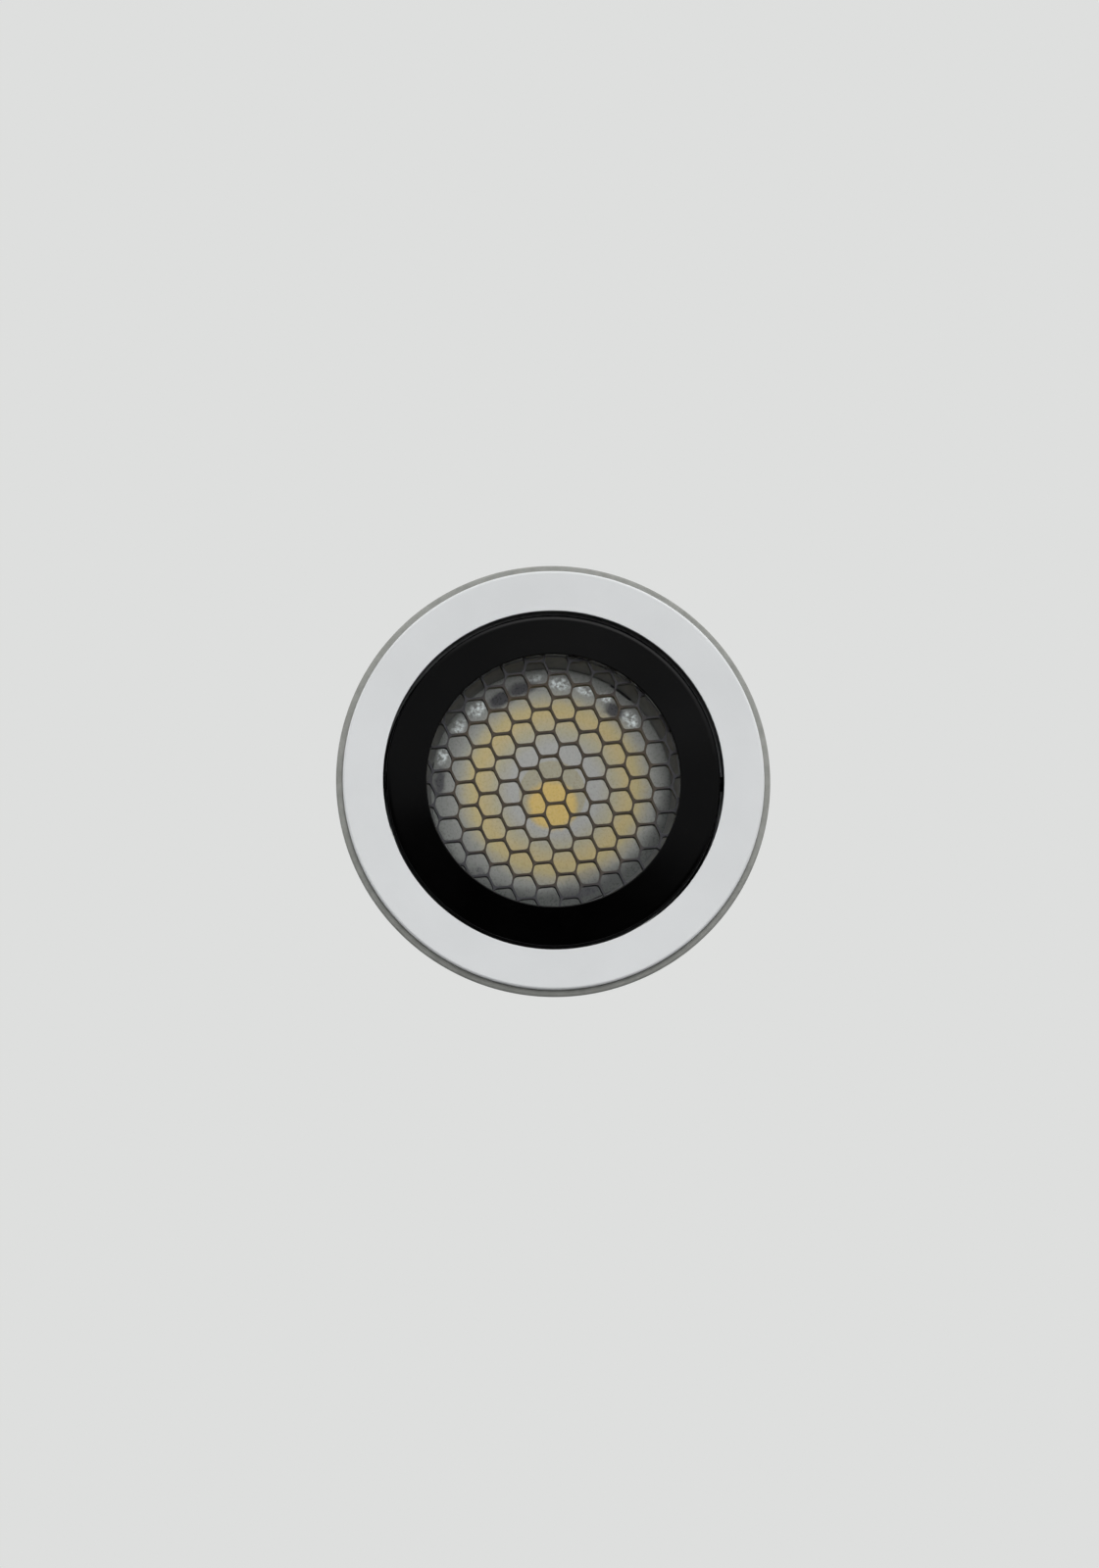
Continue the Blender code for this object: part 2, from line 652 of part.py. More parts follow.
def make_pivots():
    """The pins on which the ring tilts, and the washers that hold it by friction."""
    for side, label in ((1, "right"), (-1, "left")):
        outward = Vector((side, 0, 0))
        pivot = Vector((0, PIVOT_DEPTH, 0))
        seat = pivot + outward * (COLLAR_RADIUS - PIVOT_SEAT_DEPTH + SEAT_GAP)
        reach = COLLAR_RADIUS - PIVOT_SEAT_DEPTH + SEAT_GAP - WASHER_SEAT + PIVOT_PIN_REACH
        pin = screw(
            f"pivot_{label}",
            seat,
            PIVOT_HEAD_RADIUS,
            PIVOT_HEAD_HEIGHT,
            PIVOT_PIN_RADIUS,
            reach,
            -outward,
            PIVOT_SLOT_TURN,
        )
        finished(pin, f"pivot_pin_{label}", "zinc_steel")
        face = pivot + outward * (WASHER_SEAT + SEAT_GAP)
        back = face + outward * WASHER_THICKNESS
        washer = rod(f"washer_{label}", WASHER_RADIUS, face, back)
        hole_radius = PIVOT_PIN_RADIUS + RUNNING_GAP
        hole = rod(
            f"washer_hole_{label}",
            hole_radius,
            face - outward * CUT_OVERRUN,
            back + outward * CUT_OVERRUN,
        )
        combine(washer, "DIFFERENCE", [hole])
        finished(washer, f"friction_washer_{label}", "black_plastic")


# Tilting ring and what it holds


def make_tilting_ring(tilt):
    """The black ring: coned face, rounded shoulder, ball-shaped rim and a lip for the louvre."""
    shoulder_end = RING_FRONT + RING_FALL + RING_SHOULDER_ROUND
    shoulder_radius = rim_radius_at(shoulder_end)
    shoulder = (shoulder_radius - RING_SHOULDER_ROUND, shoulder_end)
    face_end = (shoulder[0], RING_FRONT + RING_FALL)
    profile = bowed((APERTURE_RADIUS, RING_FRONT), face_end, RING_BULGE, RING_FACE_STEPS)[:-1]
    profile += rounded(shoulder, RING_SHOULDER_ROUND, math.radians(90), 0)
    for i in range(1, RING_RIM_STEPS + 1):
        depth = shoulder_end + (RING_BACK - shoulder_end) * i / RING_RIM_STEPS
        profile.append((rim_radius_at(depth), depth))
    profile += [
        (RING_BORE_RADIUS, RING_BACK),
        (RING_BORE_RADIUS, LIP_BACK),
        (APERTURE_RADIUS, LIP_BACK),
    ]
    ring = turned("ring", profile)
    cuts = []
    for side in (1, -1):
        outward = Vector((side, 0, 0))
        pivot = Vector((0, PIVOT_DEPTH, 0))
        seat = pivot + outward * WASHER_SEAT
        outside = pivot + outward * (RIM_RADIUS + CUT_OVERRUN)
        bottom = pivot + outward * (WASHER_SEAT - PIVOT_PIN_REACH - SEAT_GAP)
        seat_radius = WASHER_RADIUS + SEAT_GAP
        cuts.append(rod(f"washer_seat_{side}", seat_radius, seat, outside))
        cuts.append(rod(f"pin_bore_{side}", PIVOT_PIN_RADIUS + RUNNING_GAP, bottom, outside))
    for i in range(SINK_SCREW_COUNT):
        angle = SINK_SCREW_TURN + FULL_TURN * i / SINK_SCREW_COUNT
        start = on_face(SINK_SCREW_OFFSET, angle, RING_BACK - SINK_SCREW_REACH - SEAT_GAP)
        end = on_face(SINK_SCREW_OFFSET, angle, RING_BACK + CUT_OVERRUN)
        cuts.append(rod(f"ring_screw_hole_{i}", SINK_SCREW_RADIUS + RUNNING_GAP, start, end))
    combine(ring, "DIFFERENCE", cuts)
    return finished(ring, "tilting_ring", "black_paint", tilt)


def cell_edges():
    """The three edge directions of a drawn-out cell, as flat vectors."""
    sizes = (
        (CELL_TOP_EDGE, CELL_TOP_ANGLE),
        (CELL_FALLING_EDGE, CELL_FALLING_ANGLE),
        (CELL_LEANING_EDGE, CELL_LEANING_ANGLE),
    )
    return [Vector((length * math.cos(a), length * math.sin(a))) for length, a in sizes]


def cell_corners(inset):
    """Corners of one cell about its centre, drawn in from the walls' middle lines by an inset."""
    edges = cell_edges()
    run = [*edges, *[-edge for edge in edges]]
    corner = -(edges[0] + edges[1] + edges[2]) / 2
    lines = []
    for edge in run:
        inward = Vector((edge.y, -edge.x)).normalized() * inset
        lines.append((corner + inward, edge))
        corner = corner + edge
    return [crossing(lines[i - 1], lines[i]) for i in range(len(lines))]


def crossing(first, second):
    """Where two lines, each a point and a direction, meet."""
    (a, along_a), (b, along_b) = first, second
    share = (b - a).cross(along_b) / along_a.cross(along_b)
    return a + along_a * share


def make_louvre(tilt):
    """A thin disc pierced by the cells, which a solid rim closes at the edge."""
    edges = cell_edges()
    right = edges[0] - edges[2]
    down = edges[0] + edges[1]
    corners = cell_corners(LOUVRE_WALL / 2)
    open_radius = LOUVRE_RADIUS - LOUVRE_RIM
    span = 2 * math.ceil(open_radius / min(right.length, down.length))
    outlines = []
    for i in range(-span, span + 1):
        for j in range(-span, span + 1):
            centre = right * i + down * j + Vector((CELL_OFFSET_X, CELL_OFFSET_Z))
            outline = [centre + corner for corner in corners]
            inside = [p for p in outline if p.length < open_radius - CELL_LEAST_REACH]
            if len(inside) >= 2:
                outlines.append([(p.x, p.y) for p in outline])
    middle = (LOUVRE_FRONT + LOUVRE_BACK) / 2
    placing = Matrix.Translation((0, middle, 0)) @ FACE_FORWARD
    cells = plate("cells", outlines, LOUVRE_DEPTH + 2 * CUT_OVERRUN, placing)
    front = Vector((0, LOUVRE_FRONT, 0))
    back = Vector((0, LOUVRE_BACK, 0))
    overrun = INTO_WALL * 2 * CUT_OVERRUN
    window = rod("louvre_window", open_radius, front - overrun, back + overrun, ROUND_STEPS)
    combine(cells, "INTERSECT", [window])
    louvre = rod("louvre", LOUVRE_RADIUS, front, back, ROUND_STEPS)
    combine(louvre, "DIFFERENCE", [cells])
    return finished(louvre, "honeycomb_louvre", "black_louvre", tilt)


def make_baffle(tilt):
    """The dark tube that narrows from the louvre to the lens."""
    front_radius = LOUVRE_RADIUS - BAFFLE_WALL
    profile = [
        (front_radius, BAFFLE_FRONT),
        (LOUVRE_RADIUS, BAFFLE_FRONT),
        (LOUVRE_RADIUS, BAFFLE_BACK),
        (BAFFLE_END_RADIUS, BAFFLE_BACK),
        (BAFFLE_END_RADIUS, BAFFLE_BACK - BAFFLE_WALL / 2),
    ]
    return finished(turned("baffle", profile, INNER_ROUND_STEPS), "baffle_tube", "dark_plastic", tilt)


# Lens and holder


def lens_radius_at(depth):
    """Radius of the lens's bowl at a depth, a parabola between its neck and its rear end."""
    share = (LENS_BACK - depth) / (LENS_BACK - LENS_NECK)
    return math.sqrt(LENS_REAR_RADIUS**2 + share * (LENS_NECK_RADIUS**2 - LENS_REAR_RADIUS**2))


def make_lens(tilt):
    """The moulded lens: rim, bowl and the well over the LED with its crowned floor."""
    profile = [(0, LENS_FRONT), (LENS_RIM_RADIUS, LENS_FRONT), (LENS_RIM_RADIUS, LENS_NECK)]
    for i in range(LENS_BOWL_STEPS + 1):
        depth = LENS_NECK + (LENS_BACK - LENS_NECK) * i / LENS_BOWL_STEPS
        profile.append((lens_radius_at(depth), depth))
    floor = LENS_BACK - LENS_WELL_DEPTH
    profile.append((LENS_WELL_RADIUS, LENS_BACK))
    profile.append((LENS_WELL_RADIUS, floor))
    for i in range(1, LENS_CROWN_STEPS + 1):
        share = 1 - i / LENS_CROWN_STEPS
        crown = LENS_WELL_CROWN * (1 - share**2)
        profile.append((LENS_WELL_RADIUS * share, floor + crown))
    lens = turned("lens_shape", profile, INNER_ROUND_STEPS, closed=False)
    return finished(lens, "lens", "clear_acrylic", tilt)


def leg_outline():
    """Outline of a holder's leg in radius and depth: ring, bowl side, lens rim and hook."""
    ring_front = RETAINER_FRONT - SEAT_GAP - HOLDER_RING_HEIGHT
    leg_back = ring_front + HOLDER_RING_HEIGHT / 2
    leg_front = LENS_NECK + HOLDER_LEG_THICKNESS
    inner = []
    outer = []
    for i in range(HOLDER_LEG_STEPS + 1):
        depth = leg_back + (leg_front - leg_back) * i / HOLDER_LEG_STEPS
        radius = lens_radius_at(depth) + HOLDER_LEG_CLEARANCE
        inner.append((radius, depth))
        outer.append((radius + HOLDER_LEG_THICKNESS, depth))
    post_inner = LENS_RIM_RADIUS + SEAT_GAP
    post_outer = CUP_BORE_RADIUS - SEAT_GAP - RUNNING_GAP
    hook_back = HOOK_FRONT + HOLDER_HOOK_THICKNESS
    hook_tip = post_outer - HOLDER_HOOK_REACH
    shelf = LENS_NECK + SEAT_GAP
    post = [
        (lens_radius_at(shelf) + HOLDER_LEG_CLEARANCE, shelf),
        (post_inner, shelf),
        (post_inner, hook_back),
        (hook_tip, hook_back),
        (hook_tip, HOOK_FRONT),
        (post_outer, HOOK_FRONT),
        (post_outer, shelf),
    ]
    return inner + post + outer[::-1]


def make_lens_holder(tilt):
    """A ring on the LED retainer with three legs that hook over the lens's rim."""
    back = RETAINER_FRONT - SEAT_GAP
    front = back - HOLDER_RING_HEIGHT
    inner = lens_radius_at(front) + HOLDER_LEG_CLEARANCE
    outer = inner + HOLDER_RING_WIDTH
    profile = [(inner, front), (outer, front), (outer, back), (inner, back)]
    holder = turned("holder_ring", profile, ROUND_STEPS // 2)
    legs = []
    for i in range(HOLDER_LEG_COUNT):
        angle = HOLDER_LEG_TURN + FULL_TURN * i / HOLDER_LEG_COUNT
        placing = radial_placing(angle)
        legs.append(plate(f"holder_leg_{i}", [leg_outline()], HOLDER_LEG_WIDTH, placing))
    combine(holder, "UNION", legs)
    return finished(holder, "lens_holder", "black_plastic", tilt)


# LED and its retainer


def make_led(tilt):
    """The LED board with its phosphor, the pad under it and the retainer that presses it down."""
    board_middle = Vector((0, BOARD_FRONT + BOARD_THICKNESS / 2, 0))
    board = box("board", (BOARD_SIDE, BOARD_THICKNESS, BOARD_SIDE), board_middle)
    finished(board, "led_board", "board_ceramic", tilt)
    start = Vector((0, PHOSPHOR_FRONT, 0))
    end = start + INTO_WALL * PHOSPHOR_THICKNESS
    phosphor = rod("phosphor", PHOSPHOR_RADIUS, start, end, PHOSPHOR_STEPS)
    finished(phosphor, "led_phosphor", "yellow_phosphor", tilt)
    pad_middle = Vector((0, PAD_FRONT + PAD_THICKNESS / 2, 0))
    pad = box("pad", (PAD_SIDE, PAD_THICKNESS, PAD_SIDE), pad_middle)
    finished(pad, "thermal_pad", "grey_silicone", tilt)


def make_retainer(tilt):
    """The white disc that holds the LED board, its two screws and its holes for the leads."""
    face = RETAINER_FRONT
    window = RETAINER_WINDOW_RADIUS
    profile = [
        (window + RETAINER_WINDOW_FLARE, face),
        (RETAINER_RADIUS, face),
        (RETAINER_RADIUS, RETAINER_BACK),
        (window, RETAINER_BACK),
        (window, face + RETAINER_FACE / 2),
    ]
    retainer = turned("retainer", profile, ROUND_STEPS // 2)
    pocket_side = BOARD_SIDE + 2 * SEAT_GAP
    pocket_depth = RETAINER_BACK + CUT_OVERRUN - RETAINER_POCKET_FRONT
    pocket_middle = Vector((0, RETAINER_POCKET_FRONT + pocket_depth / 2, 0))
    cuts = [box("retainer_pocket", (pocket_side, pocket_depth, pocket_side), pocket_middle)]
    for side in (1, -1):
        lead = Vector((side * LEAD_OFFSET, 0, 0))
        front = lead + INTO_WALL * (face - CUT_OVERRUN)
        back = lead + INTO_WALL * (RETAINER_BACK + CUT_OVERRUN)
        cuts.append(rod(f"retainer_lead_{side}", LEAD_RADIUS + LEAD_HOLE_GAP, front, back))
        centre = UP * side * RETAINER_SCREW_OFFSET
        front = centre + INTO_WALL * (face - CUT_OVERRUN)
        back = centre + INTO_WALL * (RETAINER_BACK + CUT_OVERRUN)
        seat = centre + INTO_WALL * (face + RETAINER_HEAD_HEIGHT + SEAT_GAP)
        hole_radius = RETAINER_SCREW_RADIUS + RUNNING_GAP
        cuts.append(rod(f"retainer_hole_{side}", hole_radius, front, back))
        head_hole = RETAINER_HEAD_RADIUS + SEAT_GAP
        cuts.append(rod(f"retainer_seat_{side}", head_hole, front, seat))
    combine(retainer, "DIFFERENCE", cuts)
    finished(retainer, "led_retainer", "white_plastic", tilt)
    for side, label in ((1, "top"), (-1, "bottom")):
        place = UP * side * RETAINER_SCREW_OFFSET + INTO_WALL * (face + RETAINER_HEAD_HEIGHT)
        reach = RETAINER_BACK - place.y + RETAINER_SCREW_REACH
        fastener = screw(
            f"retainer_fastener_{label}",
            place,
            RETAINER_HEAD_RADIUS,
            RETAINER_HEAD_HEIGHT,
            RETAINER_SCREW_RADIUS,
            reach,
            INTO_WALL,
            RETAINER_SLOT_TURN,
        )
        finished(fastener, f"retainer_screw_{label}", "zinc_steel", tilt)


# Heat sink


def cone_radius_at(depth):
    """Outer radius of the heat sink's cone at a depth."""
    share = (depth - CONE_FRONT) / (CONE_BACK - CONE_FRONT)
    return CUP_RADIUS + (FLOOR_RADIUS + CONE_WALL - CUP_RADIUS) * share


def fin_outline():
    """Outline of a fin in radius and depth, its root sunk into the cone and the core."""
    tip = CUP_RADIUS - FIN_INSET
    start = CONE_FRONT - JOIN_DEPTH / 2
    end = FLOOR_BACK + FIN_LENGTH
    core_root = CORE_RADIUS - FIN_ROOT
    return [
        (cone_radius_at(CONE_FRONT) - FIN_ROOT, start),
        (tip, start),
        (tip, end - FIN_TAPER_LENGTH),
        (tip - FIN_TAPER_WIDTH * FIN_TAPER_SHARE, end - FIN_TAPER_LENGTH * FIN_TAPER_SHARE),
        (tip - FIN_TAPER_WIDTH, end),
        (core_root, end),
        (core_root, FLOOR_BACK - FLOOR_THICKNESS / 2),
        (FLOOR_RADIUS + CONE_WALL - FIN_ROOT, FLOOR_BACK - FLOOR_THICKNESS / 2),
        (FLOOR_RADIUS + CONE_WALL - FIN_ROOT, CONE_BACK),
    ]


def all_fins():
    """All fins as one shape of separate plates, each turned about the axis."""
    first = plate("fin", [fin_outline()], FIN_THICKNESS, Matrix.Identity(4))
    shape = bmesh.new()
    for i in range(FIN_COUNT):
        angle = FULL_TURN * (i + 0.5) / FIN_COUNT
        known = set(shape.verts)
        shape.from_mesh(first.data)
        fresh = [v for v in shape.verts if v not in known]
        bmesh.ops.transform(shape, matrix=radial_placing(angle), verts=fresh)
    shape.to_mesh(first.data)
    shape.free()
    first.name = "fins"
    return first


def make_heat_sink(tilt):
    """The cast heat sink: flange, cup, cone, core, fins and the holes for screws and leads."""
    floor_wall = FLOOR_RADIUS + CONE_WALL
    profile = [
        (0, FLOOR_FRONT),
        (FLOOR_RADIUS, FLOOR_FRONT),
        (FLOOR_RADIUS, CONE_BACK),
        (CUP_BORE_RADIUS - CONE_STEP, CONE_FRONT - CONE_LEAD),
        (CUP_BORE_RADIUS, CONE_FRONT - CONE_LEAD),
        (CUP_BORE_RADIUS, SINK_FRONT),
        (SINK_FLANGE_RADIUS, SINK_FRONT),
        (SINK_FLANGE_RADIUS, SINK_FLANGE_BACK),
        (CUP_RADIUS, SINK_FLANGE_BACK),
        (CUP_RADIUS, CONE_FRONT),
        (floor_wall, CONE_BACK),
        (floor_wall, FLOOR_BACK),
        (CORE_RADIUS, FLOOR_BACK),
        (CORE_RADIUS, CORE_BACK),
        (0, CORE_BACK),
    ]
    sink = turned("sink", profile, INNER_ROUND_STEPS, closed=False)
    combine(sink, "UNION", [all_fins()])
    cuts = []
    for side in (1, -1):
        lead = Vector((side * LEAD_OFFSET, 0, 0))
        front = lead + INTO_WALL * (FLOOR_FRONT - CUT_OVERRUN)
        back = lead + INTO_WALL * (CORE_BACK + CUT_OVERRUN)
        cuts.append(rod(f"lead_channel_{side}", LEAD_RADIUS + LEAD_HOLE_GAP, front, back))
        centre = UP * side * RETAINER_SCREW_OFFSET
        front = centre + INTO_WALL * (FLOOR_FRONT - CUT_OVERRUN)
        back = centre + INTO_WALL * (RETAINER_BACK + RETAINER_SCREW_REACH + SEAT_GAP)
        cuts.append(rod(f"floor_hole_{side}", RETAINER_SCREW_RADIUS + RUNNING_GAP, front, back))
        centre = UP * side * CAP_PILLAR_OFFSET
        front = centre + INTO_WALL * (CORE_BACK - CAP_SCREW_REACH - SEAT_GAP)
        back = centre + INTO_WALL * (CORE_BACK + CUT_OVERRUN)
        cuts.append(rod(f"core_hole_{side}", CAP_SCREW_RADIUS + RUNNING_GAP, front, back))
    for i in range(SINK_SCREW_COUNT):
        angle = SINK_SCREW_TURN + FULL_TURN * i / SINK_SCREW_COUNT
        front = on_face(SINK_SCREW_OFFSET, angle, SINK_FRONT - CUT_OVERRUN)
        back = on_face(SINK_SCREW_OFFSET, angle, SINK_FLANGE_BACK + CUT_OVERRUN)
        cuts.append(rod(f"flange_hole_{i}", SINK_SCREW_RADIUS + RUNNING_GAP, front, back))
    combine(sink, "DIFFERENCE", cuts)
    finished(sink, "heat_sink", "cast_aluminium", tilt)
    for i in range(SINK_SCREW_COUNT):
        angle = SINK_SCREW_TURN + FULL_TURN * i / SINK_SCREW_COUNT
        place = on_face(SINK_SCREW_OFFSET, angle, SINK_FLANGE_BACK + SEAT_GAP)
        reach = place.y - RING_BACK + SINK_SCREW_REACH
        fastener = screw(
            f"module_fastener_{i}",
            place,
            SINK_SCREW_HEAD_RADIUS,
            SINK_SCREW_HEAD_HEIGHT,
            SINK_SCREW_RADIUS,
            reach,
            -INTO_WALL,
            angle,
        )
        finished(fastener, f"module_screw_{i + 1}", "zinc_steel", tilt)


# Rear cap, leads and terminal block


def lead_points(side):
    """The way of a lead: straight back through the core, then inwards to the terminal block."""
    middle = (TERMINAL_FRONT + TERMINAL_BACK) / 2
    bend = (LEAD_OFFSET - LEAD_BEND_RADIUS, middle - LEAD_BEND_RADIUS)
    points = [(LEAD_OFFSET, RETAINER_BACK - LEAD_START)]
    points += rounded(bend, LEAD_BEND_RADIUS, 0, math.radians(-90), LEAD_BEND_STEPS)
    points.append((TERMINAL_WIDTH / 2 + SEAT_GAP, middle))
    return [(side * x, depth, 0) for x, depth in points]


def make_wiring(tilt):
    """The two leads and the block at which the supply cable would end."""
    for side, label, finish in ((1, "right", "red_insulation"), (-1, "left", "black_insulation")):
        lead = tube(f"lead_shape_{label}", lead_points(side), LEAD_RADIUS)
        finished(lead, f"lead_{label}", finish, tilt)
    middle = Vector((0, (TERMINAL_FRONT + TERMINAL_BACK) / 2, 0))
    size = (TERMINAL_WIDTH, TERMINAL_DEPTH, TERMINAL_HEIGHT)
    block = box("terminal", size, middle)
    cuts = []
    for side in (1, -1):
        top = middle + Vector((side * TERMINAL_SCREW_OFFSET, 0, TERMINAL_HEIGHT / 2))
        start = top + UP * CUT_OVERRUN
        end = top - UP * TERMINAL_SCREW_DEPTH
        cuts.append(rod(f"terminal_screw_{side}", TERMINAL_SCREW_RADIUS, start, end))
    combine(block, "DIFFERENCE", cuts)
    finished(block, "terminal_block", "white_plastic", tilt)


def make_cap(tilt):
    """The cap over the core's end, with its two screws and the grommet for the cable."""
    edge = (CORE_RADIUS - CAP_EDGE_ROUND, CAP_BACK - CAP_EDGE_ROUND)
    inlet = GROMMET_RADIUS + SEAT_GAP
    profile = [(CAP_BORE_RADIUS, CAP_FRONT), (CORE_RADIUS, CAP_FRONT)]
    profile += rounded(edge, CAP_EDGE_ROUND, 0, math.radians(-90))
    profile += [
        (inlet, CAP_BACK),
        (inlet, CAP_BACK - CAP_END),
        (CAP_BORE_RADIUS, CAP_BACK - CAP_END),
    ]
    cap = turned("cap", profile, ROUND_STEPS // 2)
    pillars = []
    cuts = []
    for side in (1, -1):
        centre = UP * side * CAP_PILLAR_OFFSET
        front = centre + INTO_WALL * CAP_FRONT
        inside = centre + INTO_WALL * (CAP_BACK - CAP_END / 2)
        pillars.append(rod(f"cap_pillar_{side}", CAP_PILLAR_RADIUS, front, inside))
        back = centre + INTO_WALL * (CAP_BACK + CUT_OVERRUN)
        seat = centre + INTO_WALL * (CAP_BACK - CAP_SCREW_HEAD_HEIGHT - SEAT_GAP)
        front = centre + INTO_WALL * (CAP_FRONT - CUT_OVERRUN)
        cuts.append(rod(f"cap_hole_{side}", CAP_SCREW_RADIUS + RUNNING_GAP, front, back))
        cuts.append(rod(f"cap_seat_{side}", CAP_SCREW_HEAD_RADIUS + SEAT_GAP, seat, back))
    combine(cap, "UNION", pillars)
    combine(cap, "DIFFERENCE", cuts)
    finished(cap, "rear_cap", "black_plastic", tilt)
    for side, label in ((1, "top"), (-1, "bottom")):
        place = UP * side * CAP_PILLAR_OFFSET + INTO_WALL * (CAP_BACK - CAP_SCREW_HEAD_HEIGHT)
        reach = place.y - CORE_BACK + CAP_SCREW_REACH
        fastener = screw(
            f"cap_fastener_{label}",
            place,
            CAP_SCREW_HEAD_RADIUS,
            CAP_SCREW_HEAD_HEIGHT,
            CAP_SCREW_RADIUS,
            reach,
            -INTO_WALL,
            CAP_SLOT_TURN,
        )
        finished(fastener, f"cap_screw_{label}", "zinc_steel", tilt)


def make_grommet(tilt):
    """The rubber ring in the cap's end, grooved to grip the wall of the cap."""
    lip = GROMMET_RADIUS + GROMMET_COLLAR
    inner_front = CAP_BACK - CAP_END - SEAT_GAP
    outer_back = CAP_BACK + SEAT_GAP
    front = inner_front - GROMMET_COLLAR_HEIGHT * GROMMET_INNER_SHARE
    back = outer_back + GROMMET_COLLAR_HEIGHT
    profile = [
        (GROMMET_BORE_RADIUS, front),
        (GROMMET_RADIUS, front),
        (GROMMET_RADIUS, outer_back),
        (lip, outer_back),
        (lip - GROMMET_COLLAR * GROMMET_TAPER_SHARE, back),
        (GROMMET_BORE_RADIUS, back),
    ]
    return finished(turned("grommet", profile, GROMMET_STEPS), "cable_grommet", "black_rubber", tilt)


# Spring clips


def arm_frame():
    """Length and lean of a clip's arm, from its knuckle to the tip behind the flange."""
    offset = KNUCKLE_RADIUS - ARM_THICKNESS / 2
    across = ARM_TIP_OFFSET - CLIP_PIN_OFFSET
    along = CLIP_PIN_DEPTH - ARM_TIP_DEPTH
    reach = math.hypot(across, along)
    length = math.sqrt(reach**2 - offset**2)
    lean = math.atan2(across, along) - math.atan2(offset, length)
    return length, lean


def clip_placing(side):
    """Places a clip drawn with its arm along +X and its outer face towards +Y, for one side."""
    lean = arm_frame()[1]
    turn = Matrix.Rotation(lean - math.radians(90), 4, "Z")
    place = Matrix.Translation((CLIP_PIN_OFFSET, CLIP_PIN_DEPTH, 0))
    mirror = Matrix.Scale(side, 4, Vector((1, 0, 0)))
    return mirror @ place @ turn


def mirrored(shape, side):
    """Turns a shape's faces out again after it was mirrored by its placing."""
    shape.data.transform(shape.matrix_world)
    shape.matrix_world = Matrix.Identity(4)
    if side < 0:
        shape.data.flip_normals()
    return shape


def arm_outline():
    """Outline of the arm: a straight strip that ends in a knuckle round the pin."""
    length = arm_frame()[0]
    inner = KNUCKLE_RADIUS - ARM_THICKNESS
    meet = math.asin(inner / KNUCKLE_RADIUS)
    points = [(length, KNUCKLE_RADIUS), (length, inner)]
    around = rounded((0, 0), KNUCKLE_RADIUS, -meet, math.radians(270), ARM_ROUND_STEPS)
    return points + around


def pin_bore_outline():
    """The knuckle's bore as an outline."""
    steps = ARM_BORE_STEPS
    angles = [FULL_TURN * i / steps for i in range(steps)]
    return [(ARM_BORE_RADIUS * math.cos(a), ARM_BORE_RADIUS * math.sin(a)) for a in angles]


def make_arm(side, label, parent):
    """The stamped arm, with a window for the spring between its two knuckles."""
    arm = plate(
        f"arm_{label}", [arm_outline(), pin_bore_outline()], ARM_WIDTH, clip_placing(side)
    )
    mirrored(arm, side)
    reach = ARM_WINDOW_LENGTH + KNUCKLE_RADIUS + CUT_OVERRUN
    size = (reach, 2 * KNUCKLE_RADIUS + 2 * CUT_OVERRUN, ARM_WINDOW_WIDTH)
    window = box(f"arm_window_{label}", size, (0, 0, 0))
    middle = Matrix.Translation((ARM_WINDOW_LENGTH - reach / 2, 0, 0))
    window.matrix_world = clip_placing(side) @ middle
    mirrored(window, side)
    combine(arm, "DIFFERENCE", [window])
    return finished(arm, f"clip_arm_{label}", "spring_steel", parent)


def make_sleeve(side, label, parent):
    """The rubber sleeve on the arm's tip."""
    length = arm_frame()[0]
    middle = KNUCKLE_RADIUS - ARM_THICKNESS / 2
    width = ARM_WIDTH + 2 * (SLEEVE_WALL + SEAT_GAP)
    end = length + SLEEVE_END + SEAT_GAP
    size = (SLEEVE_LENGTH, SLEEVE_THICKNESS, width)
    sleeve = box(f"sleeve_{label}", size, (0, 0, 0))
    bevel = sleeve.modifiers.new("edges", "BEVEL")
    bevel.width = SLEEVE_EDGE_ROUND
    bevel.segments = 2
    settle(sleeve)
    sleeve.matrix_world = clip_placing(side) @ Matrix.Translation((end - SLEEVE_LENGTH / 2, middle, 0))
    mirrored(sleeve, side)
    reach = SLEEVE_LENGTH - SLEEVE_END + CUT_OVERRUN
    slot_size = (reach, ARM_THICKNESS + 2 * SEAT_GAP, ARM_WIDTH + 2 * SEAT_GAP)
    slot = box(f"sleeve_slot_{label}", slot_size, (0, 0, 0))
    slot_middle = end - SLEEVE_END - reach / 2
    slot.matrix_world = clip_placing(side) @ Matrix.Translation((slot_middle, middle, 0))
    mirrored(slot, side)
    combine(sleeve, "DIFFERENCE", [slot])
    return finished(sleeve, f"clip_sleeve_{label}", "black_rubber", parent)


def make_clip_pin(side, label):
    """The riveted pin through the two ears."""
    half = EAR_OUTER + RUNNING_GAP
    axis = Vector((side * CLIP_PIN_OFFSET, CLIP_PIN_DEPTH, 0))
    overlap = UP * CLIP_PIN_HEAD_HEIGHT / 2
    pin = rod(f"pin_{label}", CLIP_PIN_RADIUS, axis - UP * half - overlap, axis + UP * half + overlap)
    heads = []
    for level in (1, -1):
        seat = axis + UP * level * half
        top = seat + UP * level * CLIP_PIN_HEAD_HEIGHT
        heads.append(rod(f"pin_head_{label}_{level}", CLIP_PIN_HEAD_RADIUS, seat, top))
    combine(pin, "UNION", heads)
    return finished(pin, f"clip_pin_{label}", "zinc_steel")


